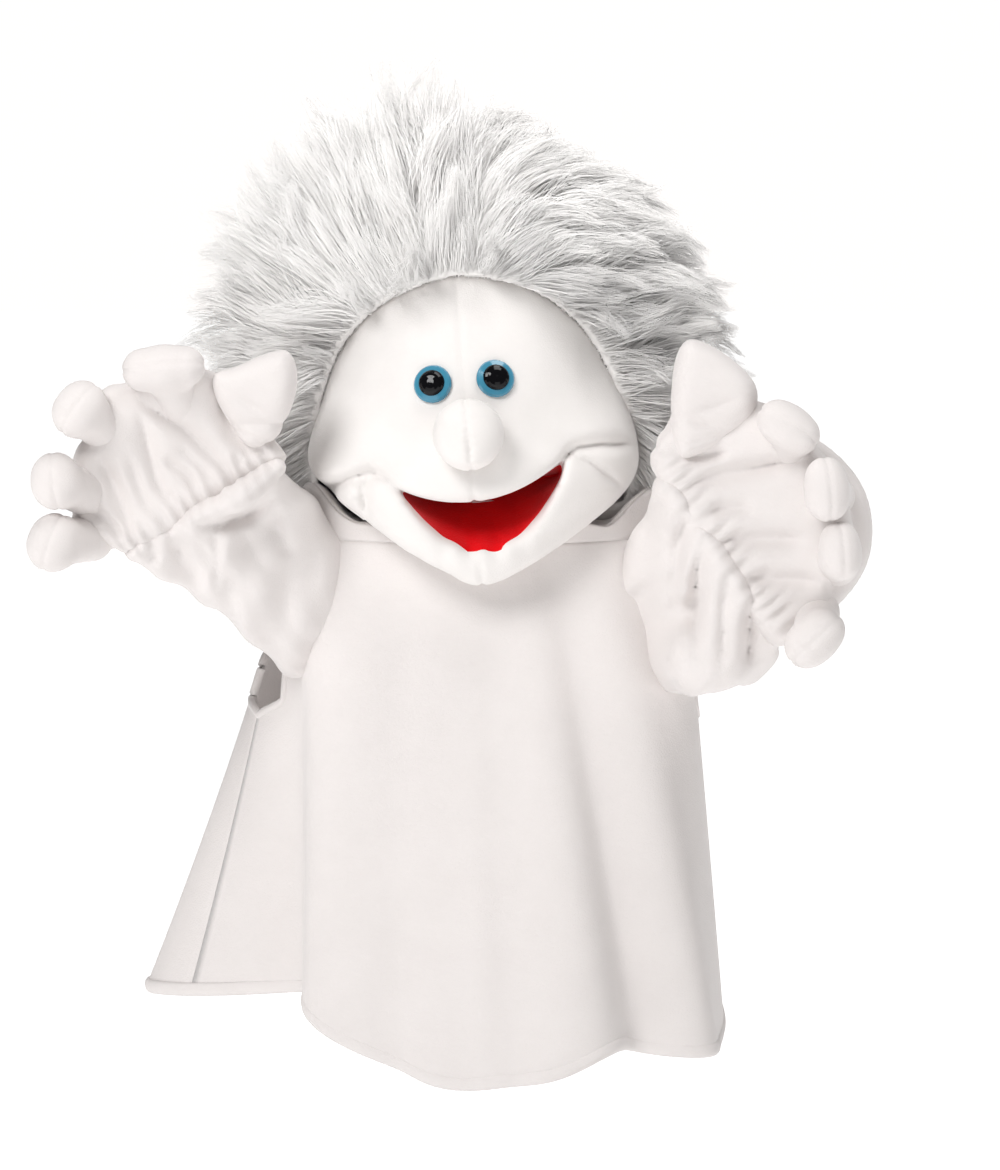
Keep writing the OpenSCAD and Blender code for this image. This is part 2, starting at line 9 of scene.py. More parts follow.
import bpy
import numpy as np
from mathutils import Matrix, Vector


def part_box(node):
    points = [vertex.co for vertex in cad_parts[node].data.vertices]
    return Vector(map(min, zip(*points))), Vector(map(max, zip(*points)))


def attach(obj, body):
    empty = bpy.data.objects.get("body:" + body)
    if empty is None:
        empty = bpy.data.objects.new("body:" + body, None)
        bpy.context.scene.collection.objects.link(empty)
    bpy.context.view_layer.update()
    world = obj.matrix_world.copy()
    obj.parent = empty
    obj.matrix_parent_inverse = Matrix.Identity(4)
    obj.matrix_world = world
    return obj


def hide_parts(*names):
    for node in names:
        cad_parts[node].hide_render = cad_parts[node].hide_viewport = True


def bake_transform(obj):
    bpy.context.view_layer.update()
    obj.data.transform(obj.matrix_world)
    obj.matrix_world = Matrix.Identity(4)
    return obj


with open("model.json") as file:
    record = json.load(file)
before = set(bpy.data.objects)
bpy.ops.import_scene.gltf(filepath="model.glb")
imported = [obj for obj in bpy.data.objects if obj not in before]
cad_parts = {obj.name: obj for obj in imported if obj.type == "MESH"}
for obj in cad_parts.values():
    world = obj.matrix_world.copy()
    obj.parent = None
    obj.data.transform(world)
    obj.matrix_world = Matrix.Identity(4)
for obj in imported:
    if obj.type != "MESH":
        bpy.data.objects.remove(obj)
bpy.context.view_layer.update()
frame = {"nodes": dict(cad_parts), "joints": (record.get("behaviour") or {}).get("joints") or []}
JOINTS = {j["name"]: j for j in frame["joints"]}
MM = 0.001
rng = np.random.default_rng(7)


# ---- fields: distances in mm, negative inside

def unit(v):
    """One vector, or an array of them, made one long."""
    v = np.asarray(v, float)
    return v / np.maximum(np.linalg.norm(v, axis=-1, keepdims=True), 1e-6)


def smin(a, b, k):
    """The smaller of two fields, with their meeting rounded over k."""
    h = np.maximum(k - np.abs(a - b), 0) / k
    return np.minimum(a, b) - h * h * k / 4


def smax(a, b, k):
    return -smin(-a, -b, k)


def step(x, lo, hi):
    """0 below lo, 1 above hi and smooth between."""
    t = np.clip((x - lo) / (hi - lo), 0, 1)
    return t * t * (3 - 2 * t)


def bell(x, width):
    return np.exp(-((x / width) ** 2))


def cone(p, a, b, ra, rb):
    """A rod with round ends, radius ra at a and rb at b."""
    a, b = np.asarray(a, float), np.asarray(b, float)
    d = b - a
    t = np.clip(((p - a) @ d) / (d @ d), 0, 1)
    return np.linalg.norm(p - a - t[..., None] * d, axis=-1) - (ra + (rb - ra) * t)


def ellipsoid(p, centre, radii):
    q = (p - np.asarray(centre, float)) / np.asarray(radii, float)
    k0 = np.linalg.norm(q, axis=-1)
    k1 = np.linalg.norm(q / np.asarray(radii, float), axis=-1)
    return k0 * (k0 - 1) / np.maximum(k1, 1e-6)


def parts(p):
    """A point's three coordinates, or those of an array of points."""
    return p[..., 0], p[..., 1], p[..., 2]


def line_distance(p, points):
    """Distance to a line of straight stretches, and how far along it the nearest point is, from 0 to 1."""
    points = np.asarray(points, float)
    lengths = np.linalg.norm(np.diff(points, axis=0), axis=1)
    best = np.full(p.shape[:-1], 1e9)
    along = np.zeros(p.shape[:-1])
    done = 0.0
    for a, b, length in zip(points[:-1], points[1:], lengths):
        d = b - a
        t = np.clip(((p - a) @ d) / (d @ d), 0, 1)
        away = np.linalg.norm(p - a - t[..., None] * d, axis=-1)
        near = away < best
        best[near] = away[near]
        along[near] = (done + t[near] * length) / lengths.sum()
        done += length
    return best, along


def crease(away, width):
    """A fold's profile: a sharp valley with soft shoulders."""
    return 0.6 * np.exp(-np.abs(away) / (0.6 * width)) + 0.4 * bell(away, 1.8 * width)


def groove(p, points, depth, width):
    """How much a fold along a line takes off a surface: deepest in the middle, running out at its ends."""
    away, along = line_distance(p, points)
    return depth * crease(away, width) * step(along, -0.1, 0.3) * (1 - step(along, 0.7, 1.1))


# ---- meshes from fields

CORNERS = np.array([[i, j, k] for i in (0, 1) for j in (0, 1) for k in (0, 1)])
EDGES = [
    (a, b) for a in range(8) for b in range(a + 1, 8)
    if np.abs(CORNERS[a] - CORNERS[b]).sum() == 1
]


def lattice(lo, hi, pitch):
    """The axes of a box of points, and the points."""
    axes = [np.arange(a, b + pitch, pitch) for a, b in zip(lo, hi)]
    return axes, np.stack(np.meshgrid(*axes, indexing="ij"), -1)


def sample(axes, f, points):
    """The field's value at any points, between its lattice points."""
    lo = np.array([a[0] for a in axes])
    pitch = axes[0][1] - axes[0][0]
    q = np.clip((points - lo) / pitch, 0, np.array(f.shape) - 1.001)
    i = q.astype(int)
    t = q - i
    total = np.zeros(len(points))
    for c in CORNERS:
        weight = np.prod(np.where(c, t, 1 - t), axis=1)
        total += weight * f[i[:, 0] + c[0], i[:, 1] + c[1], i[:, 2] + c[2]]
    return total


def gradient(axes, f, points):
    """The field's steepest direction at any points, one long."""
    pitch = axes[0][1] - axes[0][0]
    sides = np.eye(3) * pitch
    g = np.stack([sample(axes, f, points + s) - sample(axes, f, points - s) for s in sides], -1)
    return g / np.maximum(np.linalg.norm(g, axis=1, keepdims=True), 1e-9)


def skin(axes, f):
    """The surface where the field is zero: points, four-cornered faces and the points' normals."""
    inside = f < 0
    cells = tuple(n - 1 for n in f.shape)
    count = sum(
        inside[tuple(slice(i, i + n) for i, n in zip(c, cells))].astype(np.int8)
        for c in CORNERS
    )
    cell = np.argwhere((count > 0) & (count < 8))
    where, n = np.zeros((len(cell), 3)), np.zeros(len(cell))
    for a, b in EDGES:
        ia, ib = cell + CORNERS[a], cell + CORNERS[b]
        fa, fb = f[ia[:, 0], ia[:, 1], ia[:, 2]], f[ib[:, 0], ib[:, 1], ib[:, 2]]
        cross = (fa < 0) != (fb < 0)
        t = np.where(cross, fa / np.where(cross, fa - fb, 1), 0)
        where += cross[:, None] * (CORNERS[a] + t[:, None] * (CORNERS[b] - CORNERS[a]))
        n += cross
    pitch = axes[0][1] - axes[0][0]
    points = np.array([a[0] for a in axes]) + (cell + where / n[:, None]) * pitch
    number = np.full(cells, -1)
    number[cell[:, 0], cell[:, 1], cell[:, 2]] = np.arange(len(cell))
    faces = []
    for axis in range(3):
        u, v = [k for k in range(3) if k != axis]
        here = [slice(0, m - 1) if k == axis else slice(1, m - 1) for k, m in enumerate(f.shape)]
        nxt = [slice(1, m) if k == axis else slice(1, m - 1) for k, m in enumerate(f.shape)]
        a, b = inside[tuple(here)], inside[tuple(nxt)]
        at = np.argwhere(a != b) + np.array([0 if k == axis else 1 for k in range(3)])
        du, dv = np.eye(3, dtype=int)[u], np.eye(3, dtype=int)[v]
        quad = np.stack([number[tuple((at - e).T)] for e in (du + dv, dv, 0 * du, du)], 1)
        outward = inside[tuple(at.T)] != (axis == 1)
        quad[~outward] = quad[~outward][:, ::-1]
        faces.append(quad)
    faces = np.concatenate(faces)
    # pulled onto the surface
    for _ in range(2):
        points -= sample(axes, f, points)[:, None] * gradient(axes, f, points) * 0.7
    return points, faces, gradient(axes, f, points)


def link(name, data):
    obj = bpy.data.objects.new(name, data)
    bpy.context.scene.collection.objects.link(obj)
    return obj


def mesh(name, points, faces, normals, material):
    """A smooth-shaded object from points in mm. faces is an array of rows, or a list of such arrays."""
    groups = faces if isinstance(faces, list) else [faces]
    used = np.unique(np.concatenate([g.ravel() for g in groups]))
    new = np.full(len(points), -1)
    new[used] = np.arange(len(used))
    data = bpy.data.meshes.new(name)
    data.vertices.add(len(used))
    data.vertices.foreach_set("co", (points[used] * MM).astype(np.float32).ravel())
    loops = np.concatenate([new[g].ravel() for g in groups])
    sizes = np.concatenate([np.full(len(g), g.shape[1]) for g in groups])
    data.loops.add(len(loops))
    data.loops.foreach_set("vertex_index", loops.astype(np.int32))
    data.polygons.add(len(sizes))
    starts = np.concatenate([[0], np.cumsum(sizes)[:-1]])
    data.polygons.foreach_set("loop_start", starts.astype(np.int32))
    data.polygons.foreach_set("use_smooth", np.ones(len(sizes), bool))
    data.update(calc_edges=True)
    data.validate()
    if normals is not None:
        data.normals_split_custom_set_from_vertices(normals[used].tolist())
    data.materials.append(material)
    return link(name, data)


def carry(piece, body, slot, *stands_for):
    """Attaches a piece to its body and hides the CAD nodes it stands for; slot is not used."""
    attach(piece, body)
    if stands_for:
        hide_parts(*stands_for)


def smooth_borders(points, faces, labels, rounds=8):
    """Evens out the lines where faces of different labels meet."""
    a = faces.ravel()
    b = np.roll(faces, -1, axis=1).ravel()
    key = np.minimum(a, b).astype(np.int64) * len(points) + np.maximum(a, b)
    owner = np.repeat(labels, 4)
    order = np.argsort(key, kind="stable")
    key, owner, a, b = key[order], owner[order], a[order], b[order]
    same = (key[1:] == key[:-1]) & (owner[1:] != owner[:-1])
    ea, eb = a[1:][same], b[1:][same]
    for _ in range(rounds):
        total, n = np.zeros_like(points), np.zeros(len(points))
        for i, j in ((ea, eb), (eb, ea)):
            np.add.at(total, i, points[j])
            np.add.at(n, i, 1)
        on = n >= 2
        points[on] = points[on] * 0.4 + total[on] / n[on, None] * 0.6


def closed_sheet(outer, inner, around=False):
    """A thin closed wall between two grids; around joins the last column to the first."""
    rows, cols = outer.shape[:2]
    points = np.concatenate([outer.reshape(-1, 3), inner.reshape(-1, 3)])
    at = np.arange(rows * cols).reshape(rows, cols)
    wide = np.concatenate([at, at[:, :1]], 1) if around else at
    face = np.stack([wide[:-1, :-1], wide[:-1, 1:], wide[1:, 1:], wide[1:, :-1]], -1).reshape(-1, 4)
    n = rows * cols
    parts = [face, face[:, ::-1] + n]
    for row, flip in ((wide[0], True), (wide[-1], False)):
        edge = np.stack([row[:-1], row[1:], row[1:] + n, row[:-1] + n], -1)
        parts.append(edge if not flip else edge[:, ::-1])
    if not around:
        for col, flip in ((at[:, 0], False), (at[:, -1], True)):
            edge = np.stack([col[:-1], col[1:], col[1:] + n, col[:-1] + n], -1)
            parts.append(edge if not flip else edge[:, ::-1])
    return points, np.concatenate(parts)


# ---- materials

def nodes_of(name):
    material = bpy.data.materials.new(name)
    material.use_nodes = True
    tree = material.node_tree
    return material, tree, tree.nodes["Principled BSDF"]


def put(node, **values):
    """Sets a node's inputs; an underscore stands for a space in a name."""
    for name, value in values.items():
        node.inputs[name.replace("_", " ")].default_value = value


def add(tree, kind, **values):
    node = tree.nodes.new("ShaderNode" + kind)
    put(node, **values)
    return node


def object_coords(tree):
    return add(tree, "TexCoord").outputs["Object"]


def noise(tree, coords, scale, detail, rough=0.6):
    n = add(tree, "TexNoise", Scale=scale, Detail=detail, Roughness=rough)
    tree.links.new(coords, n.inputs["Vector"])
    return n.outputs["Fac"]


def mottle(tree, bsdf, factor, low, high):
    """A base colour between low and high."""
    ramp = add(tree, "ValToRGB")
    for element, place, colour in zip(ramp.color_ramp.elements, (0.3, 0.7), (low, high)):
        element.position, element.color = place, (*colour, 1)
    tree.links.new(factor, ramp.inputs["Fac"])
    tree.links.new(ramp.outputs["Color"], bsdf.inputs["Base Color"])


def ramp(tree, value, start, end, low, high):
    """A number that goes from low to high as value goes from start to end."""
    node = add(tree, "MapRange", From_Min=start, From_Max=end, To_Min=low, To_Max=high)
    tree.links.new(value, node.inputs["Value"])
    return node.outputs["Result"]


def bump(tree, bsdf, heights):
    """Chains bumps: heights is a list of (output, strength, distance in metres)."""
    normal = None
    for height, strength, distance in heights:
        b = add(tree, "Bump", Strength=strength, Distance=distance)
        tree.links.new(height, b.inputs["Height"])
        if normal is not None:
            tree.links.new(normal, b.inputs["Normal"])
        normal = b.outputs["Normal"]
    tree.links.new(normal, bsdf.inputs["Normal"])


def cloth(name, low, high, pile=1300, sheen=0.35, roughness=0.85, grain=0.35):
    """Short-pile cloth: fine pile, soft brushed patches and a little sheen."""
    material, tree, bsdf = nodes_of(name)
    coords = object_coords(tree)
    patches, fine = noise(tree, coords, 45, 2), noise(tree, coords, pile, 2, 0.7)
    mottle(tree, bsdf, patches, low, high)
    bump(tree, bsdf, [(fine, grain, 0.0006), (noise(tree, coords, 260, 3), 0.12, 0.0012)])
    put(bsdf, Roughness=roughness, Sheen_Weight=sheen, Sheen_Roughness=0.4, Specular_IOR_Level=0.15)
    return material


def fur_material():
    material, tree, bsdf = nodes_of("fur_fibre")
    coords = object_coords(tree)
    mottle(tree, bsdf, noise(tree, coords, 70, 4), (0.93, 0.91, 0.89), (0.98, 0.965, 0.95))
    bump(tree, bsdf, [(noise(tree, coords, 900, 2), 0.2, 0.0003)])
    put(bsdf, Roughness=0.8, Specular_IOR_Level=0.1, Sheen_Weight=0.4)
    return material


def iris_material(side):
    """Blue, darker at the rim and next to the pupil."""
    material, tree, bsdf = nodes_of(f"{side}_blue_iris")
    lo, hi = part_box(f"{side}_eye_iris")
    coords = object_coords(tree)
    away = add(tree, "VectorMath")
    away.operation = "DISTANCE"
    away.inputs[1].default_value = [(a + b) / 2 for a, b in zip(lo, hi)]
    tree.links.new(coords, away.inputs[0])
    away = ramp(tree, away.outputs["Value"], 0, (hi[2] - lo[2]) / 2, 0, 1)
    rings = add(tree, "ValToRGB")
    elements = rings.color_ramp.elements
    elements[0].position, elements[0].color = 0.70, (0.05, 0.20, 0.30, 1)
    elements[1].position, elements[1].color = 0.97, (0.05, 0.24, 0.36, 1)
    elements.new(0.79).color = (0.34, 0.74, 0.88, 1)
    elements.new(0.88).color = (0.38, 0.78, 0.90, 1)
    tree.links.new(away, rings.inputs["Fac"])
    tree.links.new(rings.outputs["Color"], bsdf.inputs["Base Color"])
    bump(tree, bsdf, [(noise(tree, coords, 900, 2), 0.05, 0.0002)])
    put(bsdf, Roughness=0.12, Coat_Weight=0.5, Coat_Roughness=0.04)
    return material


def plastic(name, colour, roughness, specular):
    material, tree, bsdf = nodes_of(name)
    coords = object_coords(tree)
    mottle(tree, bsdf, noise(tree, coords, 500, 2), [c * 0.8 for c in colour], colour)
    bump(tree, bsdf, [(noise(tree, coords, 1500, 2), 0.03, 0.0001)])
    put(bsdf, Roughness=roughness, Specular_IOR_Level=specular)
    return material


WHITE = cloth("white_velour", (0.73, 0.69, 0.675), (0.75, 0.71, 0.695))
FACE = cloth("face_velour", (0.78, 0.75, 0.73), (0.81, 0.78, 0.76), pile=1500, grain=0.25)
RED = cloth(
    "red_felt", (0.66, 0.0, 0.004), (0.80, 0.004, 0.008),
    pile=900, sheen=0.1, roughness=0.95, grain=0.5,
)
ELASTIC = cloth("woven_elastic", (0.72, 0.70, 0.68), (0.82, 0.80, 0.78), pile=700)
BOARD = cloth("grey_board", (0.16, 0.16, 0.16), (0.24, 0.24, 0.23), pile=500, sheen=0.0)
FUR = fur_material()
IRISES = {side: iris_material(side) for side in ("right", "left")}
PUPIL = plastic("black_pupil", (0.003, 0.003, 0.004), 0.06, 0.25)
WASHER = plastic("white_washer", (0.75, 0.75, 0.74), 0.4, 0.5)


# ---- head

JAW_AXIS = np.array(JOINTS["jaw_open"]["axis"], float)
LEAN = math.atan2(JAW_AXIS[2], JAW_AXIS[0])
# the height on the neck about which the head leans
LEAN_Z = 30.0
HINGE_Y, HINGE_Z = -26.0, 71.0
# the skull's middle and its half sizes
CRANIUM = ((0, -12.0, 84), (67, 67, 88))
# the mouth's middle and half its width, inside
MOUTH_X, MOUTH_HALF = 2.5, 36
SEAM = 0.9


def turned(v, angle=LEAN):
    """Directions from the upright head to the leaning one."""
    x, y, z = parts(v)
    c, s = math.cos(angle), math.sin(angle)
    return np.stack([x * c - z * s, y, x * s + z * c], -1)


def leaned(p, angle=LEAN):
    """Points from the upright head to the leaning one."""
    pivot = np.array([0, 0, LEAN_Z])
    return turned(p - pivot, angle) + pivot


def lip_reach(x):
    """How far in front of the hinge the lips' edge is."""
    return 53 * np.sqrt(np.clip(1 - (x / 51) ** 2, 0.05, 1))


def mouth_roof(x, v):
    """Height of the mouth's roof, v in front of the hinge."""
    t = np.clip(v / lip_reach(x), 0, 1)
    return HINGE_Z + (66 + 12.5 * ((x + 1.5) / 38) ** 2 - HINGE_Z) * t


def mouth_floor(x, v):
    t = np.clip(v / lip_reach(x), 0, 1)
    return HINGE_Z + (43.5 + 34.5 * ((x - 3) / 37) ** 2 - HINGE_Z) * t


def face_folds(p):
    """The folds at the mouth's corners and the seam down the middle."""
    x, y, z = parts(p)
    # depth taken out, so that a fold keeps its course over a curved surface
    q = p * (1, 0, 1)
    ahead = 1 - step(y, -42, -20)
    total = 0
    for depth, width, points in FACE_FOLDS:
        total = total + groove(q, [(a, 0, b) for a, b in points], depth, width)
    # the cheeks stand out over the folds
    for middle, height in ((-52, 85), (52, 90)):
        total -= 1.2 * bell(x - middle, 11) * bell(z - height, 6)
    seam = step(z, 62, 66) + (1 - step(z, 38, 44))
    return total * ahead + 0.8 * bell(x, SEAM) * seam * (y < -30)


# depth, width and course from the front of each fold
FACE_FOLDS = (
    (5.5, 2.4, [(-33, 77), (-43, 82), (-52, 79.5), (-70, 71)]),
    (4.5, 2.0, [(-40, 82), (-46, 76), (-46, 62)]),
    (4.4, 2.0, [(38, 80.5), (45, 84.5), (55, 84.5), (70, 82)]),
    (3.4, 1.9, [(41, 82), (50, 77), (62, 66)]),
    (1.0, 1.6, [(-30, 44), (-16, 37), (-4, 33)]),
)


def lip_puckers(p):
    """Small gathers along the lower lip's edge."""
    x, y, z = parts(p)
    near = bell(z - 46, 6) * (y < -60)
    return near * 0.8 * np.sin(x * 0.55 + 0.6) * bell(x, 20)


def chin_height(x):
    """Height of the lower face's outline, fuller on the puppet's left."""
    return 26.5 + np.where(x < 0, 0.9, 0.6) * (np.sqrt(x ** 2 + 12 ** 2) - 12)


def hand_room(p):
    """The hollow for the puppeteer's hand: up from the neck, and forward over the mouth."""
    x, y, z = parts(p)
    shaft = np.sqrt(x ** 2 + (y + 3) ** 2) - 31
    shaft = smax(shaft, z - 120, 20)
    shaft = smax(shaft, 84 - z - 2.2 * (y + 22), 4)
    return smin(shaft, ellipsoid(p, (0, -14, 108), (38, 38, 26)), 10)


def head_field(p):
    """The whole head with its jaw: skull, cheeks, upper lip and chin, less the mouth and the hand's room."""
    x, y, z = parts(p)
    ax = np.abs(x)
    q = np.concatenate([ax[..., None], p[..., 1:]], -1)
    f = ellipsoid(p, *CRANIUM)
    f = smin(f, ellipsoid(q, (44, -34, 79), (23, 26, 22)), 22)
    f = smin(f, ellipsoid(p, (0, -40, 74), (44, 40, 17)), 12)
    chin_y = np.clip(50 + 0.4 * (z - 45), 30, 52)
    chin = (np.sqrt((x / 60) ** 2 + ((y - HINGE_Y) / chin_y) ** 2) - 1) * 48
    chin = smax(chin, z - 80, 8)
    f = smin(f, chin, 8)
    front = -72 + 41 * (ax / 66) ** 2.5
    # the underside rises behind the chin
    low = chin_height(x)
    behind = np.maximum(low, 60 + 0.3 * np.maximum(y, 0))
    under = np.minimum(low + 0.35 * np.maximum(y - front, 0), behind)
    f = smax(f, (under - z) * 0.85, 11)
    v = HINGE_Y - y
    floor, roof = mouth_floor(x, v), mouth_roof(x, v)
    steep = np.sqrt(1 + (0.049 * ax * np.clip(v / 50, 0, 1)) ** 2 + 0.2)
    gap = smax((floor - z) / steep, (z - roof) / 1.1, 1.5)
    gap = smax(gap, -(v - 1), 2)
    gap = smax(gap, np.abs(x - MOUTH_X) - MOUTH_HALF, 3)
    f = smax(f, -gap, 5)
    f = f + face_folds(p) - lip_puckers(p)
    return smax(f, -hand_room(p), 3)


def head_labels(centres):
    """0 head, 1 the cloth between the jaws, 2 jaw, 3 red lining."""
    x, y, z = parts(centres)
    v = HINGE_Y - y
    off = mouth_side(centres)
    labels = np.where(off > BAND, 0, np.where(off < -BAND, 2, 1))
    floor, roof = mouth_floor(x, v), mouth_roof(x, v)
    inside = (z > floor - 3.2) & (z < roof + 3.2) & (v > -4) & (v < lip_reach(x) - 4.5)
    labels[inside & (np.abs(x - MOUTH_X) < MOUTH_HALF + 3)] = 3
    labels[(v < -14) & (labels == 1)] = 0
    return labels


# the plane halfway between the jaws, through the hinge, and half the band of cloth that bends across it
MID_SLOPE = math.radians(17)
BAND = 10.5


def mouth_side(p):
    """Height above the plane halfway between the jaws."""
    x, y, z = parts(p)
    return np.abs(y - HINGE_Y) * math.sin(MID_SLOPE) + (z - HINGE_Z) * math.cos(MID_SLOPE)


HEAD_PIECES = (("head_skin", FACE), ("lips_and_cheeks", FACE), ("jaw_skin", FACE), ("mouth_lining", RED))


def make_head():
    """One skin, cut into the pieces that head_labels numbers."""
    axes, p = lattice((-74, -90, 22), (74, 60, 178), 1.25)
    f = head_field(p)
    points, faces, normals = skin(axes, f)
    labels = head_labels(points[faces].mean(1))
    smooth_borders(points, faces, labels)
    points, normals = leaned(points), turned(normals)
    made = {}
    for label, (name, material) in enumerate(HEAD_PIECES):
        made[name] = mesh(name, points, faces[labels == label], normals, material)
    for name in ("lips_and_cheeks", "mouth_lining"):
        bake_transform(made[name])
    skull = ("skull_foam_right", "skull_foam_left", "face_right_panel", "face_left_panel")
    carry(made["head_skin"], "head", "face_plush", *skull)
    carry(made["jaw_skin"], "jaw", "face_plush", "jaw_foam", "chin_right_panel", "chin_left_panel")
    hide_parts("mouth_lining_upper", "mouth_lining_lower", "mouth_fold")


# the boards' middle and half their width
BOARD_X, BOARD_HALF = 4, 31


def make_boards():
    """The stiff boards over and under the mouth, hidden between its lining and the padding."""
    sides = (("upper", mouth_roof, 1.8, 3.4), ("lower", mouth_floor, -1.8, -3.4))
    for name, surface, near, far in sides:
        t = np.linspace(-1, 1, 40)[:, None]
        u = np.linspace(0, 1, 24)[None]
        x = BOARD_X + BOARD_HALF * t + 0 * u
        v = 3 + (lip_reach(x) - 10) * u
        sheets = [leaned(np.stack([x, HINGE_Y - v, surface(x, v) + lift], -1)) for lift in (far, near)]
        if name == "lower":
            sheets.reverse()
        points, faces = closed_sheet(*sheets)
        board = mesh(f"mouth_board_{name}_curved", points, faces, None, BOARD)
        carry(board, "head" if name == "upper" else "jaw", "board", f"mouth_board_{name}")


def make_nose():
    axes, p = lattice((-20, -112, 74), (20, -66, 114), 0.8)
    lo, hi = (np.array(v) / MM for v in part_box("nose"))
    # the nose's middle on the upright head
    centre = leaned((lo + hi) / 2, -LEAN)
    f = ellipsoid(p, centre + (0, 0.5, 0), (14.6, 12.2, 14.9))
    f += 0.8 * bell(p[..., 0] - centre[0], SEAM)
    f += groove(p, centre + np.array([(0, -9, -9), (1.2, -9.5, -4.5), (0.5, -11, 0)]), 0.9, 1.2)
    f += 0.25 * np.sin(p[..., 2] * 1.7) * bell(p[..., 0] - centre[0], 3)
    points, faces, normals = skin(axes, f)
    nose = mesh("nose_ball", leaned(points), faces, turned(normals), FACE)
    carry(nose, "head", "face_plush", "nose")


# ---- fur

# how far forward the fur starts at each height
HAIRLINE_Z = (40, 70, 90, 104, 123, 133, 142, 151, 157)
HAIRLINE_Y = (-18, -22, -22, -30, -35, -38, -42, -46, -51)
HAIR_MIDDLE, HAIR_RADII = (0, 12, 101), (97, 66, 114)
# the fur's lower edge, the underside of the head and the room left round the neck
FUR_LOW, HEAD_LOW, NECK_ROOM = 48, 57, 50
STRAND_STEPS = 5
CLUMPS = 760
STRANDS = 36000


def hair_field(p):
    """The mass of the fur: a thick ring round the face, closed behind, hollow for the head."""
    x, y, z = parts(p)
    forward = np.stack([x, y + 9 * step(z, 125, 165), z], -1)
    f = ellipsoid(forward, HAIR_MIDDLE, HAIR_RADII)
    head = ellipsoid(p, *CRANIUM)
    line = np.interp(z, HAIRLINE_Z, HAIRLINE_Y)
    bulge = 2 + 7 * step(z, 100, 140)
    f = smax(f, (line - bulge * step(head, 0, 22) - y) * 0.9, 10)
    f = smax(f, FUR_LOW + 3 * np.sin(x * 0.09) - z, 12)
    angle = np.arctan2(x, z - HAIR_MIDDLE[2])
    fine = np.sin(angle * 31 + 2.2 * np.sin(angle * 9) + 0.02 * head)
    f += 2.2 * fine * np.sin(angle * 13 + 0.05 * head + 0.04 * y) * step(head, 2, 20)
    # under the head it closes in to the neck
    neck = smax(np.sqrt(x ** 2 + (y + 2) ** 2) - NECK_ROOM, z - HEAD_LOW - 3, 3)
    hollow = smin(smax(head, HEAD_LOW - z, 3), neck, 4)
    return smax(f, 0.6 - hollow, 1)


def comb(p, n):
    """Which way the fur lies at its root, how it bends, and how long it is."""
    x, y, z = parts(p)
    out = unit(np.stack([x, np.zeros(len(p)), z - 88], -1))
    ahead = step(-y, -45, 10)[:, None]
    top = step(z, 120, 170)[:, None]
    low = step(-z, -105, -60)[:, None]
    swept = step(x, 0, 40)[:, None] * top
    way = out + swept * np.array([0.75, 0, -0.25]) + low * np.array([0, 0, -1.0])
    way = unit(way * (0.35 + 0.65 * ahead) + (1 - ahead) * np.array([0, 0.25, -0.6]))
    # lifted off the surface
    rise = np.sum(way * n, axis=1, keepdims=True)
    rim = bell(ellipsoid(p, *CRANIUM) - 2, 8)[:, None] * ahead
    way = unit(way + np.maximum(0.27 + 0.3 * rim - rise, 0) * n)
    spiky = step(-x, -20, 20) * top[:, 0]
    bend = np.array([0, 0, -1.0]) * (0.22 - 0.2 * spiky[:, None] + 0.12 * swept) - 0.16 * n
    length = 34 + 9 * spiky + 3 * top[:, 0] + 3 * low[:, 0]
    return way, bend, length


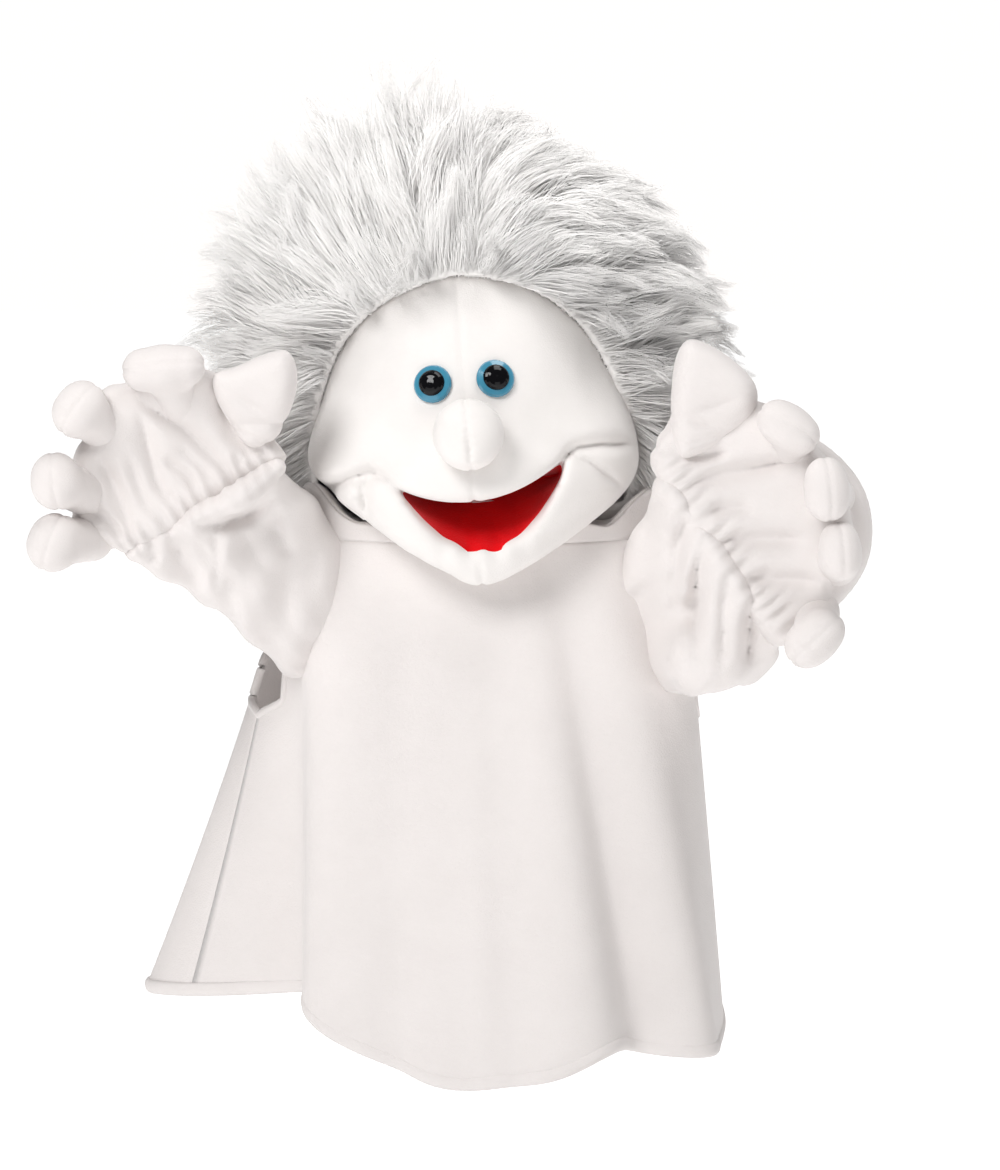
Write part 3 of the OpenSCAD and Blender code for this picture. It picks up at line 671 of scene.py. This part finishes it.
def make_fur():
    """The mass of the fur, and over it clumps of tapering closed strands."""
    axes, p = lattice((-112, -74, 36), (112, 96, 226), 2.2)
    points, faces, normals = skin(axes, hair_field(p))
    body = mesh("fur_mass", leaned(points), faces, turned(normals), FUR)
    carry(body, "head", "fur", "wig_fur", "wig_backing")

    centres = points[faces].mean(1)
    outside = ellipsoid(centres, *CRANIUM) > 2.2
    a, b, c, d = (points[faces[outside, i]] for i in range(4))
    areas = np.linalg.norm(np.cross(c - a, d - b), axis=1)
    # thicker along the hairline
    rim = bell(ellipsoid(centres[outside], *CRANIUM) - 3, 8) * (centres[outside, 1] < 0)
    areas = areas * (1 + 2.5 * rim)
    share = areas / areas.sum()

    def roots(count):
        face = rng.choice(len(a), count, p=share)
        u, v = rng.uniform(size=(2, count, 1))
        where = (a[face] * u + b[face] * (1 - u)) * v + (d[face] * u + c[face] * (1 - u)) * (1 - v)
        n = unit(normals[faces[outside][face]].mean(1))
        return where - 1.5 * n, n

    heads, head_n = roots(CLUMPS)
    c_way, c_bend, c_length = comb(heads, head_n)
    c_way = unit(c_way + rng.normal(size=c_way.shape) * 0.22)
    c_length = c_length * rng.uniform(0.8, 1.25, CLUMPS)
    starts, n = roots(STRANDS)
    way, bend, length = comb(starts, n)
    hairline = bell(ellipsoid(starts, *CRANIUM) - 2, 7) * step(-n[:, 1], 0, 0.5)
    starts = starts - (3.5 * hairline)[:, None] * way + (1.2 * hairline)[:, None] * n
    way = unit(way + rng.normal(size=way.shape) * 0.13)
    nearest = np.empty(STRANDS, int)
    for i in range(0, STRANDS, 2000):
        block = starts[i:i + 2000]
        nearest[i:i + 2000] = np.argmin(((block[:, None] - heads[None]) ** 2).sum(2), 1)
    length = length * rng.uniform(0.65, 1.0, STRANDS)
    t = np.linspace(0, 1, STRAND_STEPS + 1)

    def course(start, length, way, bend):
        curve = way[:, None] * t[:, None] + bend[:, None] * (t ** 2)[:, None]
        return start[:, None] + length[:, None, None] * curve

    # each strand is drawn from its own course to that of the nearest clump
    own = course(starts, length, way, bend)
    lead = course(heads[nearest], c_length[nearest], c_way[nearest], c_bend[nearest])
    pull = rng.uniform(0.3, 1.0, STRANDS)[:, None, None] * (t ** 1.2)[None, :, None]
    line = own * (1 - pull) + lead * pull
    line += rng.normal(size=line.shape) * (t ** 1.5)[None, :, None] * 0.6
    line[..., 1] = np.minimum(line[..., 1], 110)
    line = leaned(line)
    n = turned(n)
    soft = n + step(-n[:, 1], -0.6, 0.2)[:, None] * np.array([-0.5, -1.0, 0.4])
    along = unit(np.gradient(line, axis=1))
    across = unit(np.cross(along, n[:, None]))
    other = np.cross(along, across)
    thick = rng.uniform(0.16, 0.26, STRANDS)[:, None] * (1 - 0.85 * t[None] ** 1.5)
    turns = 2 * math.pi * np.arange(3) / 3
    way_out = np.stack([math.cos(turn) * across + math.sin(turn) * other for turn in turns], 2)
    ring = line[:, :, None] + thick[..., None, None] * way_out
    # soft shading: mostly that of the fur's surface, in front turned towards the light
    ring_n = unit(soft[:, None, None] + 0.25 * way_out)
    per = (STRAND_STEPS + 1) * 3
    index = np.arange(per).reshape(STRAND_STEPS + 1, 3)
    nxt = np.roll(index, -1, axis=1)
    quads = np.stack([index[:-1], nxt[:-1], nxt[1:], index[1:]], -1).reshape(-1, 4)
    caps = np.array([index[0][::-1], index[-1]])
    # pieces by region: two sides in front, two behind
    region = (starts[:, 0] > 0).astype(int) + 2 * (starts[:, 1] > -5).astype(int)
    names = ("fur_front_right", "fur_front_left", "fur_back_right", "fur_back_left")
    for number, name in enumerate(names):
        chosen, chosen_n = (v[region == number].reshape(-1, 3) for v in (ring, ring_n))
        base = (np.arange(len(chosen) // per) * per)[:, None, None]
        faces = [(quads[None] + base).reshape(-1, 4), (caps[None] + base).reshape(-1, 3)]
        piece = mesh(name, chosen, faces, chosen_n, FUR)
        carry(piece, "head", "fur")


# ---- hands and sleeves

FINGERS = ("thumb", "index", "middle", "ring", "little")
# thickness of the cloth, radius of a fingertip, and where the wrist's gathers are in the hand's frame
CLOTH, TIP_RADIUS, WRIST_Y = 2.4, 9.6, 5.0


class Hand:
    """One hand's own frame at its wrist: x to the thumb, y to the fingers, z out of the palm."""

    def __init__(self, side):
        self.side = side
        self.name = "right" if side < 0 else "left"
        self.wrist = self.pivot("wrist_bend")
        x = unit(JOINTS[f"{self.name}_wrist_bend"]["axis"]) * -side
        z = np.array([0.0, -1.0, 0.0])
        y = np.cross(z, x) * (1 if side < 0 else -1)
        self.axes = np.array([x, y, z])
        self.shoulder = self.local(self.pivot("arm_swing"))
        self.knuckles, self.tips = {}, {}
        for finger in FINGERS:
            knuckle = self.pivot(f"{finger}_curl")
            node = frame["nodes"][f"{self.name}_{finger}"]
            co = np.array([v.co for v in node.data.vertices]) / MM
            far = co[np.argmax(np.linalg.norm(co - knuckle, axis=1))]
            self.knuckles[finger] = self.local(knuckle)
            self.tips[finger] = self.local(far - TIP_RADIUS * unit(far - knuckle))

    def pivot(self, joint):
        return np.array(JOINTS[f"{self.name}_{joint}"]["pos_m"]) / MM

    def local(self, p):
        return (p - self.wrist) @ self.axes.T

    def place(self, p):
        return p @ self.axes + self.wrist

    def turn(self, v):
        return v @ self.axes


# the palms' creases, from the gathered wrist outward: course, depth and width
PALM_FOLDS = {
    -1: [
        ([(22, 7), (20, 16), (15, 34), (8, 47), (5, 58)], 3.6, 3.0),
        ([(-7, 8), (-5, 22), (-1, 36), (4, 50)], 3.4, 3.2),
        ([(-2, 9), (-4, 15), (-5, 22)], 2.0, 2.2),
        ([(8, 8), (6, 18), (0, 29)], 2.6, 2.6),
        ([(15, 8), (12, 20), (9, 30)], 1.8, 3.0),
        ([(-26, 6), (-24, 16), (-22, 28), (-21, 42)], 4.6, 3.2),
        ([(-28, 7), (-32, 17), (-38, 27)], 3.6, 2.8),
        ([(-15, 7), (-14, 20), (-10, 36)], 2.4, 3.4),
        ([(30, 8), (29, 15)], 1.8, 2.0),
        ([(39, 8), (34, 13), (32, 22), (33, 32), (35, 40)], 4.6, 2.6),
    ],
    1: [
        ([(50, 20), (44, 30), (38, 38)], 2.8, 1.8),
        ([(48, 17), (42, 27), (37, 35)], 2.2, 1.6),
        ([(39, 11), (34, 20), (30, 28)], 4.0, 2.4),
        ([(28, 8), (22, 24), (15, 40), (10, 50)], 5.6, 2.6),
        ([(15, 7), (10, 15), (5, 23)], 3.2, 2.4),
        ([(1, 5), (-7, 17), (-18, 33)], 4.6, 2.6),
        ([(-16, 3), (-24, 12), (-36, 28)], 5.0, 2.6),
    ],
}
SLEEVE_FOLDS = {
    -1: [
        ([(-2, -3), (8, -9), (20, -11), (34, -9)], 4.5, 3.2),
        ([(-12, -2), (-15, -14), (-16, -30)], 3.5, 4.0),
        ([(-21, 2), (-24, -10)], 2.5, 3.0),
        ([(-4, -8), (-4, -26), (2, -44)], 2.5, 5.0),
        ([(14, -14), (12, -30), (16, -46)], 3.0, 5.0),
        ([(30, -12), (26, -24), (24, -40)], 3.0, 3.4),
        ([(6, -6), (0, -18), (-10, -34)], 3.0, 3.0),
    ],
    1: [
        ([(20, 0), (10, -12), (-4, -24), (-20, -34)], 3.6, 3.6),
        ([(8, 0), (-4, -12), (-20, -24), (-34, -34)], 4.2, 3.6),
        ([(-10, -1), (-22, -12), (-36, -22), (-44, -30)], 4.2, 3.4),
        ([(-26, -1), (-38, -9), (-48, -18)], 3.6, 3.0),
        ([(34, 0), (26, -14), (12, -30), (-6, -44)], 3.0, 3.4),
    ],
}


def folds(p, lines):
    """The deepest of several creases, each drawn over the front."""
    flat = p * (1, 1, 0)
    total = np.zeros(p.shape[:-1])
    for points, depth, width in lines:
        total = np.maximum(total, groove(flat, [(a, b, 0) for a, b in points], depth, width))
    return total


def gathers(p, reach):
    """Small folds square to the wrist's line, dying out away from it."""
    x, y, z = parts(p)
    wave = np.sin(x * 2 * math.pi / 6.5 + 1.3 * np.sin(x * 0.21) + (z > 0))
    return 1.3 * wave * bell(y - WRIST_Y, reach)


def outline_distance(p, corners):
    """Distance in x and y to a closed outline with its corners cut round, negative inside it."""
    corners = np.asarray(corners, float)
    for _ in range(2):
        nxt = np.roll(corners, -1, axis=0)
        cut = [corners * 0.75 + nxt * 0.25, corners * 0.25 + nxt * 0.75]
        corners = np.stack(cut, 1).reshape(-1, 2)
    x, y = p[..., 0], p[..., 1]
    best = np.full(x.shape, 1e9)
    inside = np.zeros(x.shape, bool)
    for (ax, ay), (bx, by) in zip(corners, np.roll(corners, -1, axis=0)):
        dx, dy = bx - ax, by - ay
        t = np.clip(((x - ax) * dx + (y - ay) * dy) / (dx * dx + dy * dy), 0, 1)
        best = np.minimum(best, (x - ax - t * dx) ** 2 + (y - ay - t * dy) ** 2)
        if ay != by:
            inside ^= ((y < ay) != (y < by)) & (x < ax + (y - ay) * dx / dy)
    return np.sqrt(best) * np.where(inside, -1, 1)


# the palms seen from the front, reaching under the fingertips
PALMS = {
    -1: [(-29, -3), (46, -3), (45, 10), (41, 22), (40, 36), (40, 46), (30, 56), (14, 62), (4, 62), (-4, 66),
         (-14, 62), (-19, 52), (-28, 50), (-36, 42), (-34, 32), (-43, 30), (-49, 18), (-38, 4)],
    1: [(-42, -6), (46, -6), (52, 10), (58, 20), (54, 40), (42, 48), (34, 55), (20, 60), (8, 59), (-2, 60),
        (-12, 60), (-20, 54), (-30, 50), (-38, 42), (-40, 30), (-50, 26), (-54, 8), (-50, -4)],
}
# the left hand's back, wider than its palm
LEFT_BACK = [(-44, -4), (30, 0), (40, 30), (24, 56), (8, 63), (-6, 66), (-20, 65), (-34, 58), (-45, 47),
             (-51, 30), (-52, 8)]


def fullness(flat, edge):
    """From 0 at an outline to 1 at the depth edge inside it, along a quarter circle."""
    return np.sqrt(np.clip(1 - (1 + flat / edge) ** 2 * (flat > -edge), 0, 1))


def cushion(p, outline, middle, thick, edge):
    """A stuffed shape: full inside its outline and thin at its edge."""
    flat = outline_distance(p, outline)
    return smax(flat, np.abs(p[..., 2] - middle) - thick * fullness(flat, edge) - 1, 5)


def palm_field(hand, p):
    f = cushion(p, PALMS[hand.side], -5 + 7 * step(p[..., 1], 18, 55), 10.5, 11)
    f = f + 1.5 * folds(p, PALM_FOLDS[hand.side]) * step(p[..., 2], -2, 4)
    if hand.side > 0:
        f = smin(f, cushion(p, LEFT_BACK, -9, 7, 9), 3)
    return f + gathers(p, 7)


def seam(p, start, end, across):
    """A stitched line round a stuffed finger, in the plane square to across, over its outer part."""
    return 0.7 * bell((p - end) @ across, SEAM) * step((p - start) @ unit(end - start), 6, 12)


def finger_field(hand, finger, p):
    a, b = hand.knuckles[finger], hand.tips[finger]
    if finger == "thumb":
        return thumb_field(hand, p, a, b)
    # a short stuffed lobe, drawn out across the hand
    shift, wide, reach, radius = LOBES[hand.side][finger]
    middle, wide = b + np.array(shift + (0,)), unit(wide + (0,))
    f = cone(p, a, middle, 9.4, radius)
    f = smin(f, cone(p, middle - reach * wide, middle + reach * wide, radius, radius * 0.94), 4)
    f += seam(p, a, middle, unit(np.cross(wide, (0.1, 0.2, 1))))
    out = unit(middle - a)
    return f + 0.6 * bell((p - a) @ out - 5, 2.2) * step(p[..., 2], -4, 4)


# each fingertip seen from the front: how far its middle lies from the bone's end, the way it is drawn out,
# half its extra length, and its radius
LOBES = {
    -1: {"index": ((10, 1), (0.9, -0.42), 8.5, 9.0), "middle": ((3.5, 4), (0.9, 0.42), 3.0, 9.6),
         "ring": ((3, 4.5), (0.4, 0.9), 2.5, 9.6), "little": ((3, 4), (0.75, 0.65), 2.5, 10.0)},
    1: {"index": ((-4, 3), (-0.93, 0.37), 5.5, 8.6), "middle": ((0, 0), (0.87, 0.5), 5.0, 8.6),
        "ring": ((2, -2), (0.85, 0.5), 4.5, 8.0), "little": ((1, 2), (0.15, 1.0), 5.0, 9.2)},
}
# the thumbs' outlines, seen from the front
THUMBS = {
    -1: [(32, 12), (44, 8), (56, 15), (66, 24), (71, 34), (70, 42), (60, 45), (46, 46), (37, 49),
         (32, 40), (31, 26)],
    1: [(38, 6), (52, 12), (66, 22), (77, 32), (80, 41), (73, 47), (58, 53), (45, 54), (35, 46),
        (33, 34), (34, 20)],
}


def thumb_field(hand, p, a, b):
    """A broad flat pad that narrows to its tip."""
    flat = outline_distance(p, THUMBS[hand.side])
    thick = 9.5 * fullness(flat, 10) + 1
    ahead = unit((b - a) * (1, 1, 0))
    along = (p - a) @ ahead
    middle = 1 + (b[2] - 2) * step(along, 0, 26)
    f = smax(flat + 1, np.abs(p[..., 2] - middle) - thick, 5)
    side = (p - a) @ unit(np.cross(ahead, (0, 0, 1)))
    # three creases across it
    f += 2.2 * crease(along - 7 - 0.25 * side, 1.5) * bell(side - 2, 10)
    f += 1.8 * crease(along - 13 + 0.35 * side, 1.4) * bell(side + 3, 8)
    f += 1.6 * crease(along - 1 + 0.2 * side, 1.4) * bell(side, 9)
    return f + 0.7 * bell(p[..., 2] - middle, 0.9) * (flat > -4)


def sleeve_field(hand, p):
    """Cloth from the wrist to the shoulder: a few cones melted together, with folds and wrinkles."""
    s = hand.shoulder
    x, y, z = parts(p)
    if hand.side < 0:
        f = cone(p, (-23, 3, -7), s + (5, 2, 10), 12, 21)
        f = smin(f, cone(p, (4, 0, -6), s + (2, 0, 2), 16, 26), 14)
        f = smin(f, cone(p, (27, 1, -5), s + (14, 16, 6), 13, 20), 12)
        roll = cone(p, (2, -1, 5), (22, -2, 8), 6.5, 8.5)
        roll = smin(roll, cone(p, (22, -2, 8), (38, 3, 3), 8.5, 7), 6)
        f = smin(f, roll, 4)
    else:
        f = cone(p, (0, 0, -6), s + (0, 0, 4), 16, 26)
        f = smin(f, cone(p, (26, 1, -5), s + (20, 4, 16), 13, 18), 12)
        f = smin(f, cone(p, (-16, -4, -5), (-36, -28, -12), 15, 14), 12)
        f = smin(f, cone(p, (-30, 2, -8), (-46, -14, -24), 11, 13), 10)
        f = smin(f, cone(p, (-38, -28, -14), s + (-6, -4, 20), 13, 20), 14)
    f = f + 1.5 * folds(p, SLEEVE_FOLDS[hand.side]) * step(z, -30, -5) + gathers(p, 8)
    # soft wrinkles over the rest of the cloth
    wrinkle = np.sin(x * 0.16 + 1.6 * np.sin(y * 0.07) + 0.05 * z) ** 3
    f += 1.6 * wrinkle * step(-y, 4, 24)
    ripple = np.sin(x * 0.11 - y * 0.23 + 2 * np.sin(x * 0.05))
    f += 1.1 * ripple * step(-y, 2, 20)
    # drawn in at the wrist
    return f + 4.5 * bell(y - WRIST_Y, 3.2)


def local_mesh(hand, name, lo, hi, pitch, field):
    """A piece of white cloth worked out in the hand's own frame."""
    axes, p = lattice(lo, hi, pitch)
    points, faces, normals = skin(axes, field(p))
    if hand.side > 0:
        faces = faces[:, ::-1]
    return mesh(f"{hand.name}_{name}", hand.place(points), faces, hand.turn(normals), WHITE)


def make_hand(side):
    hand = Hand(side)
    name = hand.name
    palm = local_mesh(hand, "glove_palm", (-62, -14, -24), (62, 72, 20), 1.15, lambda p: palm_field(hand, p))
    carry(palm, f"{name}_hand", "robe_plush", f"{name}_palm", f"{name}_hand_back", f"{name}_wrist_elastic")
    for finger in FINGERS:
        ends = np.array([hand.knuckles[finger], hand.tips[finger]])
        room = 26 if finger == "thumb" else 22
        piece = local_mesh(hand, f"{finger}_pad", ends.min(0) - room, ends.max(0) + room, 0.95,
                           lambda p, finger=finger: finger_field(hand, finger, p))
        carry(piece, f"{name}_{finger}", "robe_plush", f"{name}_{finger}")
    sleeve = local_mesh(hand, "sleeve_cloth", (-70, -112, -108), (66, 16, 24), 1.6,
                        lambda p: smax(sleeve_field(hand, p), p[..., 1] - WRIST_Y - 1, 3))
    carry(sleeve, f"{name}_arm", "robe_plush", f"{name}_sleeve")


# ---- robe
# An angle of 0 is the puppet's left side, 90 its back, 180 its right side and 270 its front.

# half widths and depths at the upper edge and at the hem, their heights, and how far the right side flares
TOP_W, TOP_D, HEM_W, HEM_D = 85, 46, 91, 74
TOP_Z, HEM_Z, FLARE = 47, -165, 78
# the slots for the arms: depth, half angles above and below, and the height of the round bottom
SLOT_DEPTH, SLOT_ANGLE, SLOT_NARROW, SLOT_ROUND = 81, 17, 7, 8
ROWS, COLUMNS = 150, 170
# the robe's middle is this far to the left at its upper edge and at its hem
SHIFT_TOP, SHIFT_HEM = 1, 12
SQUARE = 2.5


def around(a, centre):
    """The angle from centre to a."""
    return (a - centre + 180) % 360 - 180


def near(a, centre, width):
    return bell(around(a, centre), width)


def hem_z(a):
    return (HEM_Z + 14 * np.sin(np.radians(a)) + 20 * near(a, 200, 22)
            - 4 * near(a, 248, 18) + 10 * near(a, 303, 16) - 4 * near(a, 345, 15))


def top_z(a):
    return TOP_Z - 3 * near(a, 270, 35)


def robe_point(a, s, inward=0.0):
    """A point of the robe's wall: a the angle, s from 0 at its upper edge to 1 at the hem."""
    c, n = np.cos(np.radians(a)), np.sin(np.radians(a))
    hw = TOP_W + (HEM_W - TOP_W) * s ** 0.7
    hd = TOP_D + (HEM_D - TOP_D) * s ** 0.8
    out = FLARE * s ** 1.2 * near(a, 170, 17)
    out = out + 4 * s * np.cos(np.radians(5 * a + 40))
    # the front's edge by the right arm, the fold behind it, and soft drapes
    out = out + (2 + 4 * s) * near(a, 212, 10) - 10 * s ** 0.8 * near(a, 193, 9)
    out = out + 1.8 * s ** 0.7 * np.sin(np.radians(a * 9)) * near(a, 285, 60)
    valley = around(a, 316 - 14 * (1 - s))
    out = out + 7 * s ** 0.6 * (bell(valley - 15, 9) - bell(valley, 8)) + 3 * s * bell(valley + 16, 9)
    out = out - 3 * s ** 0.8 * near(a, 232, 7) + 1.6 * s * near(a, 262, 6)
    out = out + 4 * s * np.sin(np.radians(a * 7)) * near(a, 80, 60)
    # a little squarer than an ellipse
    r = ((np.abs(c) / hw) ** SQUARE + (np.abs(n) / hd) ** SQUARE) ** (-1 / SQUARE) + out - inward
    x = SHIFT_TOP + (SHIFT_HEM - SHIFT_TOP) * s + r * c
    return np.stack([x, r * n, top_z(a) + (hem_z(a) - top_z(a)) * s], -1)


def slot_gap(s, middle):
    """Half the angle that the slot at the angle middle leaves open at s."""
    z = top_z(middle) + (hem_z(middle) - top_z(middle)) * s
    low = top_z(middle) - SLOT_DEPTH
    wider = (SLOT_ANGLE - SLOT_NARROW) * step(z, low + 20, low + 38)
    return SLOT_NARROW * step(z, low, low + SLOT_ROUND) + wider


def robe_grid(start, inward):
    """Half the robe's wall, from one slot to the other."""
    s = np.linspace(0, 1, ROWS)[:, None]
    t = np.linspace(0, 1, COLUMNS)[None]
    lo = start + slot_gap(s, start)
    hi = start + 180 - slot_gap(s, start + 180)
    a = lo + (hi - lo) * t
    return robe_point(a, s * np.ones_like(a), inward)


def make_robe():
    for name, start in (("robe_front_cloth", 180.0), ("robe_back_cloth", 0.0)):
        outer, inner = robe_grid(start, 0.0), robe_grid(start, CLOTH)
        points, faces = closed_sheet(outer, inner)
        piece = mesh(name, points, faces, None, WHITE)
        carry(piece, "robe", "robe_plush", name.removesuffix("_cloth"))


def make_hem():
    """The rolled hem: k points round the roll at each of n angles."""
    n, k = 720, 10
    a = np.linspace(0, 360, n, endpoint=False)
    turns = 2 * math.pi * np.arange(k) / k
    lifts = [(0, 0, 3.2 * math.sin(t) + 0.6) for t in turns]
    walls = [robe_point(a, np.ones(n), CLOTH / 2 - 2 * math.cos(t)) for t in turns]
    grid = np.stack([wall + lift for wall, lift in zip(walls, lifts)], 1)
    at = np.arange(n * k).reshape(n, k)
    nxt, right = np.roll(at, -1, axis=0), np.roll(at, -1, axis=1)
    faces = np.stack([at, nxt, np.roll(nxt, -1, axis=1), right], -1).reshape(-1, 4)
    band = mesh("hem_roll", grid.reshape(-1, 3), faces[:, ::-1], None, WHITE)
    carry(band, "robe", "robe_plush", "hem_band")


def make_slot_edges():
    """The rolled edges of the two slots for the arms, from one top corner round the bottom to the other."""
    for middle, name in ((180.0, "right"), (0.0, "left")):
        s = np.linspace(0, 0.42, 70)
        s = s[slot_gap(s, middle) > 0.05]
        gap = slot_gap(s, middle)
        s = np.concatenate([s, s[::-1]])
        a = middle + np.concatenate([gap, -gap[::-1]])
        line = robe_point(a, s, CLOTH / 2)
        tube, faces = tube_along(line, 2.1)
        edge = mesh(f"{name}_slot_edge", tube, faces, None, WHITE)
        carry(edge, "robe", "robe_plush", f"{name}_slot_binding")


def tube_along(line, radius):
    """A closed tube with flat ends along a line of points."""
    sides = 8
    along = unit(np.gradient(line, axis=0))
    across = unit(np.cross(along, (0.3, 0.2, 0.9)))
    other = np.cross(along, across)
    turns = 2 * math.pi * np.arange(sides) / sides
    rings = [line + radius * (math.cos(t) * across + math.sin(t) * other) for t in turns]
    grid = np.stack(rings, 1)
    at = np.arange(grid.shape[0] * sides).reshape(-1, sides)
    nxt = np.roll(at, -1, axis=1)
    quads = np.stack([at[:-1], nxt[:-1], nxt[1:], at[1:]], -1).reshape(-1, 4)
    return grid.reshape(-1, 3), [quads, np.array([at[0][::-1], at[-1]])]


NECK_R, COLLAR_Z, SHOULDER_RISE = 39.0, 54.0, 17


def on_circle(a, wide, deep, z):
    """Points round an ellipse: a the angles in degrees, the others single numbers or arrays."""
    x, y = wide * np.cos(np.radians(a)), deep * np.sin(np.radians(a))
    return np.stack([x, y, z + 0 * x], -1)


def make_yoke(a):
    """Cloth from the robe's upper edge in to the neck."""
    edge = robe_point(a, np.zeros(len(a)))
    ring = on_circle(a, 46, 42, COLLAR_Z)
    t = np.linspace(0, 1, 30)[:, None]
    # straight up from the robe first, then over and in
    inward, rise = step(t, 0.3, 1.0), 1 - (1 - np.clip(t * 2, 0, 1)) ** 2
    grid = edge + (ring - edge) * inward[..., None]
    grid[..., 2] = edge[:, 2] + (ring[:, 2] - edge[:, 2]) * rise
    grid[..., 2] += 0.8 * np.sin(np.radians(a * 22)) * np.sin(t * math.pi)
    # the shoulders stand up beside the head
    grid[..., 2] += SHOULDER_RISE * step(np.abs(grid[..., 0]), 52, 76) * np.sin(t * math.pi) ** 0.6
    out = unit(edge * (1, 1, 0))
    below = np.array([0, 0, CLOTH]) * inward[..., None]
    inner = grid - CLOTH * out * (1 - inward[..., None]) - below
    points, faces = closed_sheet(grid, inner, around=True)
    yoke = mesh("shoulder_yoke", points, faces[:, ::-1], None, WHITE)
    carry(yoke, "robe", "robe_plush")


def make_neck(a):
    """The cloth tube between the robe's collar and the head."""
    t = np.linspace(0, 1, 30)[:, None]
    r = NECK_R + 3 - 3 * t + 0.9 * np.sin(np.radians(a * 18))[None] * np.sin(t * math.pi)
    grid = on_circle(a, r, r * 0.95, 38 + 26 * t) - np.stack([0 * t, 4 * t, 0 * t], -1)
    thinner = (NECK_R - CLOTH) / NECK_R
    points, faces = closed_sheet(grid, grid * (thinner, thinner, 1), around=True)
    neck = mesh("neck_cloth", points, faces[:, ::-1], None, WHITE)
    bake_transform(neck)
    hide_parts("neck_ring")


def make_forearm_sleeve(a):
    """The sleeve inside the robe that holds the puppeteer's forearm."""
    lo, hi = (np.array(v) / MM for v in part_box("neck_sleeve"))
    outer_r = (hi[0] - lo[0]) / 2
    t = np.linspace(0, 1, 60)[:, None]
    r = outer_r + 0.4 * np.sin(np.radians(a * 26))[None] * (1 - t) ** 2
    tube = on_circle(a, r, r, lo[2] + (hi[2] - lo[2]) * t)
    thinner = (outer_r - 1.4) / outer_r
    points, faces = closed_sheet(tube, tube * (thinner, thinner, 1), around=True)
    sleeve = mesh("forearm_sleeve", points, faces[:, ::-1], None, WHITE)
    carry(sleeve, "robe", "robe_plush", "neck_sleeve")


def make_collar():
    angles = np.linspace(0, 360, 180, endpoint=False)
    make_yoke(angles)
    make_neck(angles)
    make_forearm_sleeve(angles)


# ---- carried-over nodes

LOOKS = {
    "right_eye_iris": IRISES["right"], "left_eye_iris": IRISES["left"], "pupil": PUPIL, "washer": WASHER,
    "board": BOARD, "armhole": ELASTIC, "strap": ELASTIC, "binding": WHITE,
}


def dress_nodes():
    """Gives the CAD's own solids their materials, by a word in the node's name."""
    for name, obj in frame["nodes"].items():
        for word, material in LOOKS.items():
            if word in name:
                obj.data.materials.clear()
                obj.data.materials.append(material)


# ---- stage

def aim(obj, place, target):
    obj.location = place
    obj.rotation_euler = (Vector(target) - Vector(place)).to_track_quat("-Z", "Y").to_euler()


def area_light(name, place, target, size, watts):
    data = bpy.data.lights.new(name, "AREA")
    data.energy, data.size = watts, size
    aim(link(name, data), place, target)


def make_floor():
    """A pale floor that turns white further out."""
    data = bpy.data.meshes.new("floor")
    z, r = -0.5, 30.0
    data.from_pydata([(-r, -r, z), (r, -r, z), (r, r, z), (-r, r, z)], [], [(0, 1, 2, 3)])
    link("floor", data)
    material, tree, bsdf = nodes_of("pale_floor")
    put(bsdf, Base_Color=(0.9, 0.9, 0.9, 1), Emission_Color=(1, 1, 1, 1))
    put(bsdf, Roughness=0.9, Specular_IOR_Level=0.0)
    length = add(tree, "VectorMath")
    length.operation = "LENGTH"
    tree.links.new(add(tree, "NewGeometry").outputs["Position"], length.inputs[0])
    glow = ramp(tree, length.outputs["Value"], 0.4, 0.9, 0.1, 1.0)
    tree.links.new(glow, bsdf.inputs["Emission Strength"])
    data.materials.append(material)


def make_world():
    """Soft light all round, and white behind the puppet."""
    world = bpy.data.worlds.new("studio")
    bpy.context.scene.world = world
    world.use_nodes = True
    tree = world.node_tree
    back = tree.nodes["Background"]
    split = add(tree, "SeparateXYZ")
    tree.links.new(add(tree, "TexCoord").outputs["Generated"], split.inputs[0])
    strength = ramp(tree, split.outputs["Y"], 0.75, 0.93, 0.15, 1.05)
    tree.links.new(strength, back.inputs["Strength"])
    put(back, Color=(1.0, 0.97, 0.95, 1))


def make_camera():
    data = bpy.data.cameras.new("camera")
    data.sensor_width, data.sensor_fit, data.lens = 36.0, "HORIZONTAL", 131.65
    data.clip_end = 100
    camera = link("camera", data)
    tilt, distance, target = math.radians(5.5), 1.6, Vector((0.0074, 0, 0.024))
    aim(camera, target + distance * Vector((0, -math.cos(tilt), math.sin(tilt))), target)
    bpy.context.scene.camera = camera
    bpy.context.scene.view_settings.view_transform = "Standard"


def make_stage():
    make_floor()
    make_world()
    area_light("key", (-0.8, -1.25, 1.2), (0, 0, 0.02), 0.7, 21)
    area_light("top", (0.4, -0.25, 1.55), (0, 0, 0.05), 0.9, 13)
    make_camera()


make_head()
make_boards()
make_nose()
make_fur()
for side in (-1, 1):
    make_hand(side)
make_robe()
make_hem()
make_slot_edges()
make_collar()
dress_nodes()
make_stage()
